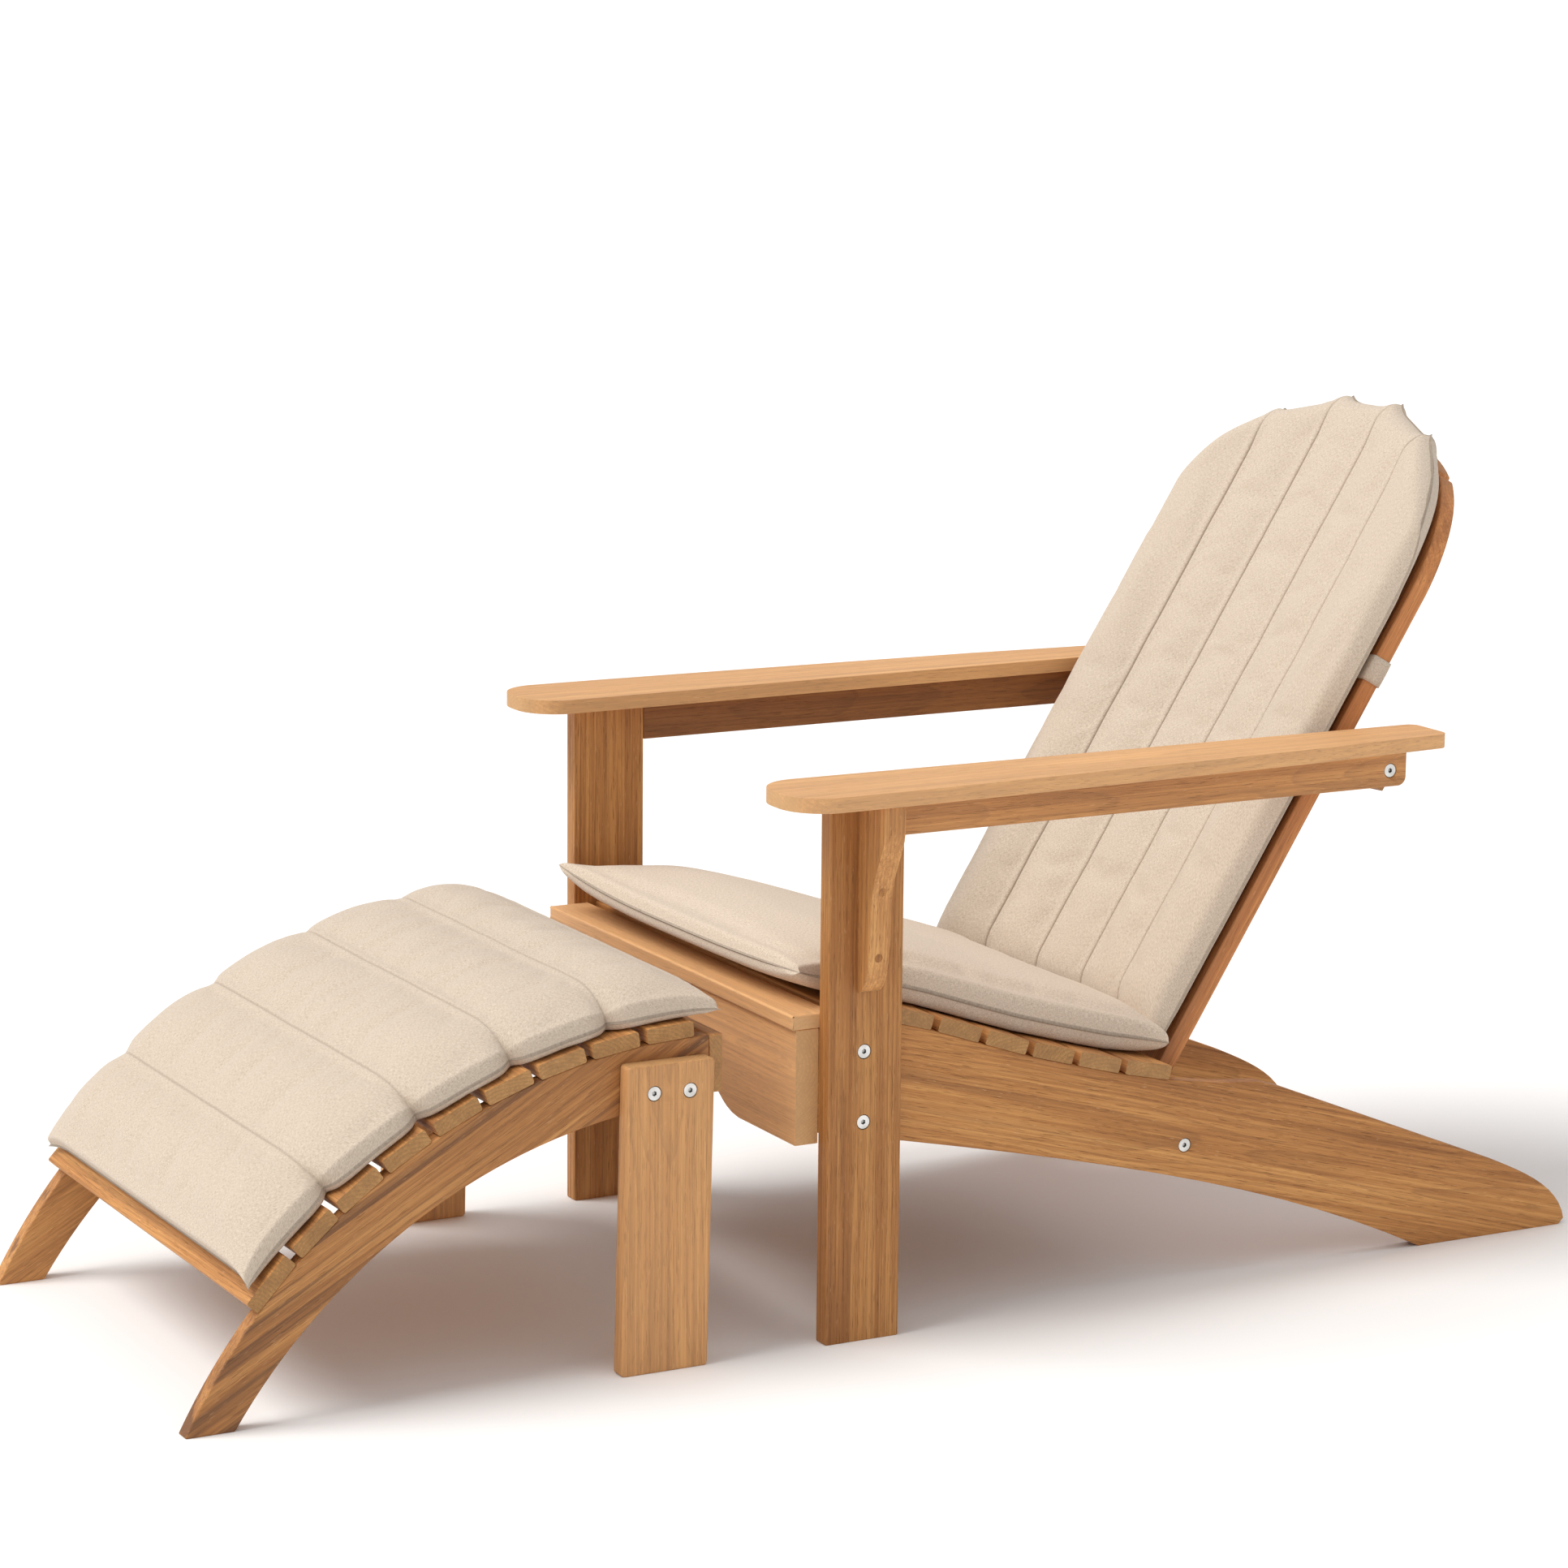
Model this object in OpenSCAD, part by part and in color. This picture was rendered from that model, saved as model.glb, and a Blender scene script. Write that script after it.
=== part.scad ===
// Adirondack lounge chair of teak boards with a matching free-standing footstool
// and tie-on cushions. Millimetres, +Z up, front of the chair towards -Y,
// sitter's left towards +X. Origin: centre of the floor rectangle under the set.

/* [Seat frame] */
// Distance over the outer faces of the two curved side boards
frame_w = 588; // [560:1:620]
// Thickness of the curved side boards
side_t = 20; // [18:1:22]
// Thickness of the front leg boards
leg_t = 21; // [18:1:24]
// Width of the front leg boards, front to back
leg_w = 88; // [80:1:94]
// Thickness of the seat slats and of the nosing board
slat_t = 16; // [12:1:18]
// Gap between neighbouring seat slats
slat_gap = 9; // [6:1:11]
// Thickness of the board across the front, below the nosing
apron_t = 27; // [22:1:30]

/* [Arms] */
// Height of the underside of the armrests above the floor
arm_z = 583; // [570:1:596]
// Thickness of the armrests
arm_t = 16; // [14:1:20]
// Height of the rail on edge under each armrest
rail_h = 43; // [40:1:50]
// Thickness of the bracket under each armrest, front to back
bracket_t = 24; // [20:1:28]

/* [Back] */
// Lean of the back from upright, in degrees
recline = 32.2; // [31.5:0.1:33]
// Width over the five upright back slats, measured round their curve
back_w = 503; // [490:1:508]
// Radius of the hollow curve the back slats stand in
back_bend = 800; // [750:10:1200]
// Thickness of the back slats
back_t = 19; // [17:1:20]
// Gap between neighbouring back slats
back_gap = 10; // [8:1:14]
// Radius of the middle of the arched top of the back
arch_r = 297; // [290:1:310]

/* [Footstool] */
// Radius of the upper edge of the arched side boards
stool_r = 643; // [640:1:648]
// Thickness of the footstool slats
stool_slat_t = 16; // [13:1:18]
// Width of the footstool slats
stool_slat_w = 53; // [44:1:55]
// Width of the two footstool legs, front to back
stool_leg_w = 100; // [84:1:104]

/* [Cushions] */
// Width of the seat cushion
seat_pad_w = 520; // [490:1:530]
// Width of the back cushion
back_pad_w = 498; // [470:1:504]
// Thickness of the back cushion
back_pad_t = 58; // [45:1:62]
// Width of the footstool cushion
stool_pad_w = 572; // [540:1:584]
// Thickness of the footstool cushion
stool_pad_t = 46; // [35:1:55]

/* [Hardware] */
// Diameter of the through bolts
bolt_d = 8; // [6:1:8]
// Diameter of the flat bolt heads
head_d = 14.5; // [13:0.5:15]
// Diameter of the hidden wood dowels
dowel_d = 8; // [6:1:9]

/* [Hidden] */
$fn = 64;
e = 0.01;
// longer than any board, for the shapes that cut
far = 1000;
// play between two faces that only just clear each other
hair = 0.02;
// play round a bolt in its hole, round its head, and how deep the head is sunk
bolt_play = 0.4;
head_play = 2;
head_sink = 4;
// how far each dowel goes into the board below it
dowel_in = 14;
arm_dowel_in = 20;
// barrel nuts: how far from the end of their rail
nut_in = 34;
// outer face of the side boards, of the legs
xs = frame_w / 2;
xl = xs + leg_t;
xi = xs - side_t;
// the model is drawn from the front face of the front legs, then centred
tail_y = 982;
toe_y = -135 - sqrt(stool_r * stool_r - 297 * 297);
y_shift = -(tail_y + toe_y) / 2;
wood = [0.72, 0.52, 0.33];
wood_d = [0.62, 0.43, 0.26];
cloth = [0.86, 0.81, 0.73];
steel = [0.75, 0.75, 0.77];

// seat line: where the undersides of the slats change slope, front to rear (Y, Z)
knee = [[-36, 339], [22, 339], [84, 337], [139, 321], [197.5, 300.5], [256, 280.5],
        [314.5, 263.5], [374.5, 247], [440, 232.5]];

// back: local Y runs up the slats, local Z points forward; zero lies on the outer
// front edges of the two outer slats
lean = 90 - recline;
back_y = 452.5;
back_z = 243;
slat_w = (back_w - 4 * back_gap) / 5;
slat_step = slat_w + back_gap;
slat_foot = -110;
// the slats stand in a hollow curve: turn from one to the next, depth, centre line
bend_a = slat_step / back_bend * 180 / PI;
back_sag = back_bend * (1 - cos(2 * bend_a)) + slat_w / 2 * sin(2 * bend_a);
bend_n = back_bend - back_sag;
// three-centred arch: a wide middle arc between two tighter shoulder arcs
arch_top = 788;
shoulder_t = 583;
arch_mid = arch_top - arch_r;
shoulder_out = back_w / 2 + 0.6;
arch_d = arch_r - shoulder_out;
shoulder_x = (pow(shoulder_t - arch_mid, 2) - arch_d * arch_d) / (2 * arch_d);
shoulder_r = shoulder_out - shoulder_x;
arch_a = atan2(shoulder_t - arch_mid, shoulder_x);
// point on the back at distance t up the slats and n forward of the front face
function bk_y(t, n) = back_y + t * cos(lean) - n * sin(lean);
function bk_z(t, n) = back_z + t * sin(lean) + n * cos(lean);
// arm-level rail: its bolts lie 25 below the armrests
rail_n = -42;
rail_front = -22;
rail_rear = -88;
rail_rear_r = 1600;
rail_c = (arm_z - 25 - back_z - rail_n * cos(lean)) / sin(lean);
rail_low = 20;
rail_high = 15.5;
arm_bolt = [bk_y(rail_c, rail_n), arm_z - 25];
// lower rail, lying flat between the side boards
side_bolt = [458, 157];
low_rail_h = 36;
low_rail_rear = 506;
// batten behind the top of the back
batten_c = 580;
batten_h = 40;
batten_t = 16;
batten_w = 380;
// middle of the rear face of slat i: how far forward, and where it meets the lower rail
function slat_n(i) = back_bend * (1 - cos((i - 2) * bend_a)) - back_sag
  - back_t * cos((i - 2) * bend_a);
function low_t(i) = (side_bolt[1] - back_z - slat_n(i) * cos(lean)) / sin(lean);
// the outer slats reach the batten with their inner halves only
function batten_x(i) = i == 0 ? 28 : i == 4 ? -28 : 0;
screw_bite = 14;
barrel_d = 14;
// cloth straps that hold the back cushion
strap_t = 1.6;
strap_w = 30;
strap_c = 495;
strap_gap = 0.3;
// back cushion: lower end, reach over the slats' arch, and clearance off the slats
back_pad_foot = 32;
back_pad_over = 18;
back_pad_clear = 3;
// brackets under the arms
bracket_y = 34;
screw_z = [489, 418];
leg_bolts = [[43, 314], [43, 238]];
stool_bolt_at = [[-201, 297], [-160, 296]];
// footstool arc centre (Y, Z)
sc = [-135, -297];
pad_r = stool_r + stool_slat_t + 1;
// footstool cushion: where round the arc it ends, with one point between
stool_pad_a = [88.8, 114, 138.4];
// rear end of the footstool's side boards; how far their lower arc is set off
stool_rear = -128;
stool_under = [-3.5, -37.5];
stool_narrow = 30;
// footstool legs: rear edge and height of the top, and how far the foot stands out
stool_leg_rear = -131;
stool_leg_top = 327;
stool_leg_kick = 7;
// board across the footstool's rear end
stool_end_t = 15.5;
stool_end_h = 62;
stool_mid = [93.3, 98.77, 104.2, 109.6, 115.03, 120.55, 125.95, 131.35, 137.15];

// cubic curve between two points with two pull points
function bez(a, b, c, d, n) = [for (i = [0 : n]) let (t = i / n, u = 1 - t)
  u * u * u * a + 3 * u * u * t * b + 3 * u * t * t * c + t * t * t * d];
// points of a round corner
function arc(c, r, a0, a1, n) = [for (i = [0 : n]) let (a = a0 + (a1 - a0) * i / n)
  [c[0] + r * cos(a), c[1] + r * sin(a)]];

module place() translate([0, y_shift, 0]) children();
// a (Y, Z) outline turned into a board lying between two X values
module board(x0, x1) translate([x0, 0, 0]) rotate([90, 0, 90])
  linear_extrude(x1 - x0) children();
// a round bar along X
module xbar(x0, x1, p, d) translate([x0, p[0], p[1]]) rotate([0, 90, 0])
  cylinder(d = d, h = x1 - x0);
// rectangle with round corners, centred
module rrect(w, h, r) {
  square([w - 2 * r, h], center = true);
  square([w, h - 2 * r], center = true);
  for (x = [-1, 1]) for (y = [-1, 1])
    translate([x * (w / 2 - r), y * (h / 2 - r)]) circle(r);
}
module on_back() translate([0, back_y, back_z]) rotate([lean, 0, 0]) children();
// frame on one back slat, zero on the middle of its front face
module on_back_slat(i) on_back() translate([0, 0, bend_n]) rotate([0, (2 - i) * bend_a, 0])
  translate([0, 0, -back_bend]) children();
// frame on one seat slat: X across, Y along the slat's width, Z off its underside
module on_slat(i) translate([0, (knee[i][0] + knee[i + 1][0]) / 2,
  (knee[i][1] + knee[i + 1][1]) / 2])
  rotate([atan2(knee[i + 1][1] - knee[i][1], knee[i + 1][0] - knee[i][0]), 0, 0])
  children();
function seg(i) = norm(knee[i + 1] - knee[i]);
// frame on one footstool slat
module on_stool(i) translate([0, sc[0], sc[1]]) rotate([stool_mid[i] - 90, 0, 0])
  translate([0, 0, stool_r]) children();

/* ---- seat frame ---- */
module side_outline() polygon(concat(
  [[0, 226], [0, 339]],
  [for (i = [1 : 8]) knee[i]],
  [[500, 222.5], [556, 217], [584, 208]],
  bez([884, 86], [935, 63], [975, 42], [tail_y, 6], 10),
  [[976, 0]],
  bez([778, 0], [600, 88], [400, 142], [104, 205], 12)));

module seat_dowel(i) for (s = [-1, 1]) on_slat(i)
  translate([s * (xs - side_t / 2), 0, -dowel_in]) cylinder(d = dowel_d, h = dowel_in + slat_t * 0.55);

module apron_dowel_set() for (s = [-1, 1]) for (z = [262, 306])
  translate([s * (xs - side_t / 2), -15, z]) rotate([-90, 0, 0])
  cylinder(d = dowel_d, h = 40);

module side_board() difference() {
  board(xi, xs) side_outline();
  for (p = leg_bolts) xbar(xi - 1, xs + 1, p, bolt_d + bolt_play);
  xbar(xi - 1, xs + 1, side_bolt, bolt_d + bolt_play);
  xbar(xs - head_sink, xs + 1, side_bolt, head_d + head_play);
  for (i = [1 : 7]) seat_dowel(i);
  apron_dowel_set();
}
module left_side_board() color(wood) place() side_board();
module right_side_board() color(wood) place() mirror([1, 0, 0]) side_board();

module front_leg() difference() {
  translate([xs, 0, 0]) cube([leg_t, leg_w, arm_z]);
  for (p = leg_bolts) {
    xbar(xs - 1, xl + 1, p, bolt_d + bolt_play);
    xbar(xl - head_sink, xl + 1, p, head_d + head_play);
  }
  bracket_screw_set(0.01);
  arm_dowel_set();
}
module left_front_leg() color(wood) place() front_leg();
module right_front_leg() color(wood) place() mirror([1, 0, 0]) front_leg();

module front_apron() color(wood) place() difference() {
  rotate([90, 0, 0]) linear_extrude(apron_t) polygon(concat(
    [[-xs, 339], [-xs, 215]],
    bez([-166, 215], [-122, 218], [-118, 246], [-70, 250], 8),
    bez([70, 250], [118, 246], [122, 218], [166, 215], 8),
    [[xs, 215], [xs, 339]]));
  apron_dowel_set();
  seat_dowel(0);
}

module slat(i) difference() {
  on_slat(i) translate([-xs, 0, slat_t / 2]) rotate([90, 0, 90])
    linear_extrude(2 * xs) rrect(seg(i) - slat_gap, slat_t, 2.5);
  seat_dowel(i);
}
module seat_nosing() color(wood) place() slat(0);
module seat_slat_1() color(wood) place() slat(1);
module seat_slat_2() color(wood) place() slat(2);
module seat_slat_3() color(wood) place() slat(3);
module seat_slat_4() color(wood) place() slat(4);
module seat_slat_5() color(wood) place() slat(5);
module seat_slat_6() color(wood) place() slat(6);
module seat_slat_7() color(wood) place() slat(7);

/* ---- arms ---- */
module arm_dowel_set() for (p = [[24, 0], [64, 0], [300, 0], [540, 0]])
  translate([xs + leg_t / 2, p[0], arm_z - arm_dowel_in])
  cylinder(d = dowel_d, h = arm_dowel_in + arm_t * 0.5);

module armrest() difference() {
  translate([0, 0, arm_z]) linear_extrude(arm_t) polygon(concat(
    arc([309, -18], 48, 180, 270, 12),
    arc([325, -18], 48, 270, 360, 12),
    [[372, 70], [368, 200], [362, 380], [355, 560]],
    arc([328, 748], 12, 0, 90, 5),
    arc([285, 748], 12, 90, 180, 5),
    [[265, 200]]));
  arm_dowel_set();
}
module left_armrest() color(wood) place() armrest();
module right_armrest() color(wood) place() mirror([1, 0, 0]) armrest();

module arm_rail() difference() {
  board(xs, xl) polygon(concat(
    [[leg_w, arm_z - rail_h], [leg_w, arm_z], [722, arm_z]],
    arc([712, arm_z - rail_h + 10], 10, 0, -90, 6)));
  xbar(xs - 1, xl + 1, arm_bolt, bolt_d + bolt_play);
  xbar(xl - head_sink, xl + 1, arm_bolt, head_d + head_play);
  arm_dowel_set();
}
module left_arm_rail() color(wood) place() arm_rail();
module right_arm_rail() color(wood) place() mirror([1, 0, 0]) arm_rail();

// curved bracket: outline in X, Z
module bracket_outline() polygon(concat(
  [[xl, arm_z], [xl, 380]],
  bez([xl + 1, 378], [xl + 12, 380], [xl + 21, 398], [xl + 23, 425], 6),
  bez([xl + 25, 452], [xl + 25, 520], [xl + 54, 524], [xl + 54, arm_z - 20], 12),
  [[xl + 54, arm_z]]));
module bracket_solid() translate([0, bracket_y + bracket_t, 0]) rotate([90, 0, 0])
  linear_extrude(bracket_t) bracket_outline();
// countersunk screws through each bracket into the leg
module bracket_screw_set(g) for (z = screw_z)
  translate([xs + 6, bracket_y + bracket_t / 2, z]) rotate([0, 90, 0]) {
    cylinder(d = 4.5 + g, h = leg_t + 4);
    translate([0, 0, leg_t + 4 - e]) cylinder(d = 8 + g, h = 3 + e);
  }
module plug_hole() for (z = screw_z)
  translate([xl + 13, bracket_y + bracket_t / 2, z]) rotate([0, 90, 0])
  cylinder(d = 9.5, h = 60);
module arm_bracket() difference() {
  bracket_solid();
  bracket_screw_set(0);
  plug_hole();
}
module left_arm_bracket() color(wood) place() arm_bracket();
module right_arm_bracket() color(wood) place() mirror([1, 0, 0]) arm_bracket();
module bracket_screws() color(steel) place() for (m = [0, 1]) mirror([m, 0, 0])
  bracket_screw_set(0);
module bracket_plugs() color(wood_d) place() for (m = [0, 1]) mirror([m, 0, 0])
  intersection() {
    bracket_solid();
    plug_hole();
  }

/* ---- back ---- */
module arch_outline() {
  for (m = [-1, 1]) translate([m * shoulder_x, shoulder_t]) circle(shoulder_r, $fn = 128);
  intersection() {
    translate([0, arch_mid]) circle(arch_r, $fn = 256);
    polygon([[0, arch_mid], [far * cos(arch_a), arch_mid + far * sin(arch_a)],
      [0, arch_mid + far], [-far * cos(arch_a), arch_mid + far * sin(arch_a)]]);
  }
  translate([-back_w / 2 - 1, -200]) square([back_w + 2, 200 + shoulder_t]);
}
module back_screw(i) on_back_slat(i)
  for (p = [[0, low_t(i)], [0, rail_c], [batten_x(i), batten_c]]) translate([p[0], p[1], 0]) {
    translate([0, 0, -back_t - screw_bite]) cylinder(d = 4.5, h = back_t + screw_bite - 3);
    translate([0, 0, -3 - e]) cylinder(d = 9, h = 3 + e);
  }
module back_slat(i) color(wood) place() difference() {
  on_back_slat(i) translate([0, 0, -back_t]) linear_extrude(back_t) intersection() {
    translate([-slat_w / 2, slat_foot]) square([slat_w, far]);
    translate([(2 - i) * slat_step, 0]) arch_outline();
  }
  back_screw(i);
}
module back_slat_1() back_slat(0);
module back_slat_2() back_slat(1);
module back_slat_3() back_slat(2);
module back_slat_4() back_slat(3);
module back_slat_5() back_slat(4);

// everything in front of the slats' rear faces, with a hair of clearance
module slat_side() for (i = [0 : 4]) let (left = i == 0 ? 80 : 2, right = i == 4 ? 80 : 2)
  on_back_slat(i) translate([-slat_step / 2 - left, -far, -back_t - hair])
  cube([slat_step + left + right, 2 * far, far]);
// upright hole for a barrel nut, crossing the bolt at x
module barrel(x, p, h) translate([x, p[0], p[1] - h / 2 - 1])
  cylinder(d = barrel_d, h = h / 2 + 1 + 12);
// a part in the back's frame, drawn as (X, forward) and cut between two heights
module back_layer(t0, t1) on_back() translate([0, t1, 0]) rotate([90, 0, 0])
  linear_extrude(t1 - t0) children();

// flat-laid rail whose front edge is cut to the slats' curve and lean
module lower_back_rail() color(wood_d) place() difference() {
  translate([-xi, 400, side_bolt[1] - low_rail_h / 2])
    cube([2 * xi, low_rail_rear - 400, low_rail_h]);
  slat_side();
  for (i = [0 : 4]) back_screw(i);
  for (m = [0, 1]) mirror([m, 0, 0]) {
    xbar(xi - nut_in - 12, xi + 1, side_bolt, bolt_d + bolt_play);
    barrel(xi - nut_in, side_bolt, 36);
  }
}
module arm_level_back_rail() color(wood_d) place() difference() {
  back_layer(rail_c - rail_low, rail_c + rail_high) intersection() {
    translate([-xs, rail_rear]) square([2 * xs, rail_front - rail_rear]);
    translate([0, rail_rear + rail_rear_r]) circle(rail_rear_r, $fn = 512);
  }
  slat_side();
  for (i = [0 : 4]) back_screw(i);
  for (m = [0, 1]) mirror([m, 0, 0]) {
    xbar(xs - nut_in - 12, xs + 1, arm_bolt, bolt_d + bolt_play);
    barrel(xs - nut_in, arm_bolt, 60);
  }
}
module upper_back_batten() color(wood_d) place() difference() {
  back_layer(batten_c - batten_h / 2, batten_c + batten_h / 2) intersection() {
    translate([-batten_w / 2, -200]) square([batten_w, 200]);
    translate([0, bend_n]) circle(back_bend + back_t + batten_t, $fn = 512);
  }
  slat_side();
  for (i = [0 : 4]) back_screw(i);
}
module back_slat_screws() color(steel) place() for (i = [0 : 4]) back_screw(i);

/* ---- hardware ---- */
// flat-head bolt with a hexagon socket, head sunk in the face at x1
module hex_bolt(x0, x1, p) difference() {
  union() {
    xbar(x0, x1 - 3.5, p, bolt_d);
    xbar(x1 - 4, x1 - 0.8, p, head_d);
  }
  translate([x1 - 3, p[0], p[1]]) rotate([0, 90, 0]) cylinder(d = 5.8, h = 5, $fn = 6);
}
module frame_bolts() color(steel) place() for (m = [0, 1]) mirror([m, 0, 0]) {
  for (p = leg_bolts) hex_bolt(xi - 8, xl, p);
  hex_bolt(xi - nut_in - 8, xs, side_bolt);
  hex_bolt(xs - nut_in - 8, xl, arm_bolt);
}
// round nuts on the inner faces of the side boards
module leg_nut(p) difference() {
  xbar(xi - 6, xi, p, 17);
  xbar(xi - 9, xi + 1, p, bolt_d);
}
module leg_bolt_nuts() color(steel) place() for (m = [0, 1]) mirror([m, 0, 0])
  for (p = leg_bolts) leg_nut(p);
module barrel_nut(x, p) difference() {
  translate([x, p[0], p[1] - 10]) cylinder(d = barrel_d, h = 20);
  xbar(x - 20, x + 20, p, bolt_d);
}
module rail_barrel_nuts() color(steel) place() for (m = [0, 1]) mirror([m, 0, 0]) {
  barrel_nut(xi - nut_in, side_bolt);
  barrel_nut(xs - nut_in, arm_bolt);
}
module seat_slat_dowels() color(wood_d) place() for (i = [0 : 7]) seat_dowel(i);
module apron_dowels() color(wood_d) place() apron_dowel_set();
module arm_dowels() color(wood_d) place() for (m = [0, 1]) mirror([m, 0, 0])
  arm_dowel_set();

/* ---- cushions ---- */
module seat_cushion() color(cloth) place() board(-seat_pad_w / 2, seat_pad_w / 2)
  polygon([[-26, 380], [-33, 400], [-22, 414], [4, 421], [60, 413], [126, 397], [197, 371],
    [256, 351], [314, 333], [374, 314], [418, 296], [446, 271], [442, 252], [374.5, 266.5],
    [314.5, 283.5], [256, 300.5], [197.5, 320.5], [139, 341], [84, 357], [36, 364]]);
// outline of the back cushion up the slats, standing a little over their arch
module back_pad_outline() {
  w = min(back_pad_w, back_w - 3) / 2;
  side_r = shoulder_r + back_pad_over;
  side_a = acos((w - shoulder_x) / side_r);
  polygon(concat([[-w, back_pad_foot], [w, back_pad_foot]],
    arc([shoulder_x, shoulder_t], side_r, side_a, arch_a - 3, 8),
    arc([0, arch_mid], arch_r + back_pad_over, arch_a, 180 - arch_a, 20),
    arc([-shoulder_x, shoulder_t], side_r, 183 - arch_a, 180 - side_a, 8)));
}
// across the back, drawn as (X, forward): bent in five flat panels, one over each slat
function bend_point(r, a) = [r * sin(a), bend_n - r * cos(a)];
pad_turns = [-3, -2.5, -1.5, -0.5, 0.5, 1.5, 2.5, 3];
module back_pad_section() polygon(concat(
  [for (k = pad_turns) bend_point((back_bend - back_pad_clear) / cos(bend_a / 2), k * bend_a)],
  [for (k = -pad_turns) bend_point((back_bend - back_pad_clear - back_pad_t) / cos(bend_a / 2),
    k * bend_a)]));
module back_cushion() color(cloth) place() intersection() {
  back_layer(0, far) back_pad_section();
  on_back() translate([0, 0, -far / 2]) linear_extrude(far) back_pad_outline();
}
// flat cloth loop round the outer slat
module strap_loop() on_back_slat(0) translate([0, strap_c - strap_w / 2, 0])
  rotate([-90, 0, 0]) linear_extrude(strap_w) difference() {
    translate([-slat_w / 2 - strap_gap - strap_t, -strap_gap - strap_t])
      square([slat_w + 2 * (strap_gap + strap_t), back_t + 2 * (strap_gap + strap_t)]);
    translate([-slat_w / 2 - strap_gap, -strap_gap])
      square([slat_w + 2 * strap_gap, back_t + 2 * strap_gap]);
  }
module back_cushion_straps() color(cloth) place() for (m = [0, 1]) mirror([m, 0, 0])
  strap_loop();

/* ---- footstool ---- */
module stool_outline() difference() {
  intersection() {
    translate(sc) circle(stool_r, $fn = 256);
    translate([stool_rear - far, 0]) square(far);
  }
  translate(sc + stool_under) circle(stool_r - stool_narrow, $fn = 256);
}
module stool_dowel(i) for (s = [-1, 1]) on_stool(i)
  translate([s * (xs - side_t / 2), 0, -dowel_in]) cylinder(d = dowel_d, h = dowel_in + stool_slat_t * 0.55);
module stool_end_dowel_set() for (s = [-1, 1]) for (z = [300, 330])
  translate([s * (xs - side_t / 2), -150, z]) rotate([-90, 0, 0])
  cylinder(d = dowel_d, h = 30);
module stool_side() difference() {
  board(xi, xs) stool_outline();
  for (p = stool_bolt_at) xbar(xi - 1, xs + 1, p, bolt_d + bolt_play);
  for (i = [0 : 8]) stool_dowel(i);
  stool_end_dowel_set();
}
module stool_left_side_board() color(wood) place() stool_side();
module stool_right_side_board() color(wood) place() mirror([1, 0, 0]) stool_side();
// the leg's foot stands a little further forward than its top
module stool_leg() difference() {
  board(xs, xl) polygon([[stool_leg_rear, stool_leg_top],
    [stool_leg_rear - stool_leg_w, stool_leg_top],
    [stool_leg_rear - stool_leg_kick - stool_leg_w, 0], [stool_leg_rear - stool_leg_kick, 0]]);
  for (p = stool_bolt_at) {
    xbar(xs - 1, xl + 1, p, bolt_d + bolt_play);
    xbar(xl - head_sink, xl + 1, p, head_d + head_play);
  }
}
module stool_left_leg() color(wood) place() stool_leg();
module stool_right_leg() color(wood) place() mirror([1, 0, 0]) stool_leg();
module stool_slat(i, w) color(wood) place() difference() {
  on_stool(i) translate([-xs, 0, stool_slat_t / 2]) rotate([90, 0, 90])
    linear_extrude(2 * xs) rrect(w, stool_slat_t, 2.5);
  stool_dowel(i);
}
module stool_slat_1() stool_slat(0, stool_slat_w);
module stool_slat_2() stool_slat(1, stool_slat_w);
module stool_slat_3() stool_slat(2, stool_slat_w);
module stool_slat_4() stool_slat(3, stool_slat_w);
module stool_slat_5() stool_slat(4, stool_slat_w);
module stool_slat_6() stool_slat(5, stool_slat_w);
module stool_slat_7() stool_slat(6, stool_slat_w);
module stool_slat_8() stool_slat(7, stool_slat_w);
module stool_slat_9() stool_slat(8, stool_slat_w + 8);
module stool_end_board() color(wood) place() difference() {
  translate([-xs, stool_rear, 284]) cube([2 * xs, stool_end_t, stool_end_h]);
  stool_end_dowel_set();
}
module stool_bolts() color(steel) place() for (m = [0, 1]) mirror([m, 0, 0])
  for (p = stool_bolt_at) hex_bolt(xi - 8, xl, p);
module stool_bolt_nuts() color(steel) place() for (m = [0, 1]) mirror([m, 0, 0])
  for (p = stool_bolt_at) leg_nut(p);
module stool_slat_dowels() color(wood_d) place() for (i = [0 : 8]) stool_dowel(i);
module stool_end_dowels() color(wood_d) place() stool_end_dowel_set();
module stool_cushion() color(cloth) place() board(-stool_pad_w / 2, stool_pad_w / 2)
  intersection() {
    difference() {
      translate(sc) circle(pad_r + stool_pad_t, $fn = 256);
      translate(sc) circle(pad_r, $fn = 256);
    }
    translate(sc) polygon(concat([[0, 0]], [for (a = stool_pad_a) far * [cos(a), sin(a)]]));
  }

left_side_board();
right_side_board();
left_front_leg();
right_front_leg();
front_apron();
seat_nosing();
seat_slat_1();
seat_slat_2();
seat_slat_3();
seat_slat_4();
seat_slat_5();
seat_slat_6();
seat_slat_7();
left_armrest();
right_armrest();
left_arm_rail();
right_arm_rail();
left_arm_bracket();
right_arm_bracket();
bracket_screws();
bracket_plugs();
back_slat_1();
back_slat_2();
back_slat_3();
back_slat_4();
back_slat_5();
lower_back_rail();
arm_level_back_rail();
upper_back_batten();
back_slat_screws();
frame_bolts();
leg_bolt_nuts();
rail_barrel_nuts();
seat_slat_dowels();
apron_dowels();
arm_dowels();
seat_cushion();
back_cushion();
back_cushion_straps();
stool_left_side_board();
stool_right_side_board();
stool_left_leg();
stool_right_leg();
stool_slat_1();
stool_slat_2();
stool_slat_3();
stool_slat_4();
stool_slat_5();
stool_slat_6();
stool_slat_7();
stool_slat_8();
stool_slat_9();
stool_end_board();
stool_bolts();
stool_bolt_nuts();
stool_slat_dowels();
stool_end_dowels();
stool_cushion();
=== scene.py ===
import math

import bpy
import numpy as np
from mathutils import Matrix, Vector


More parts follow.
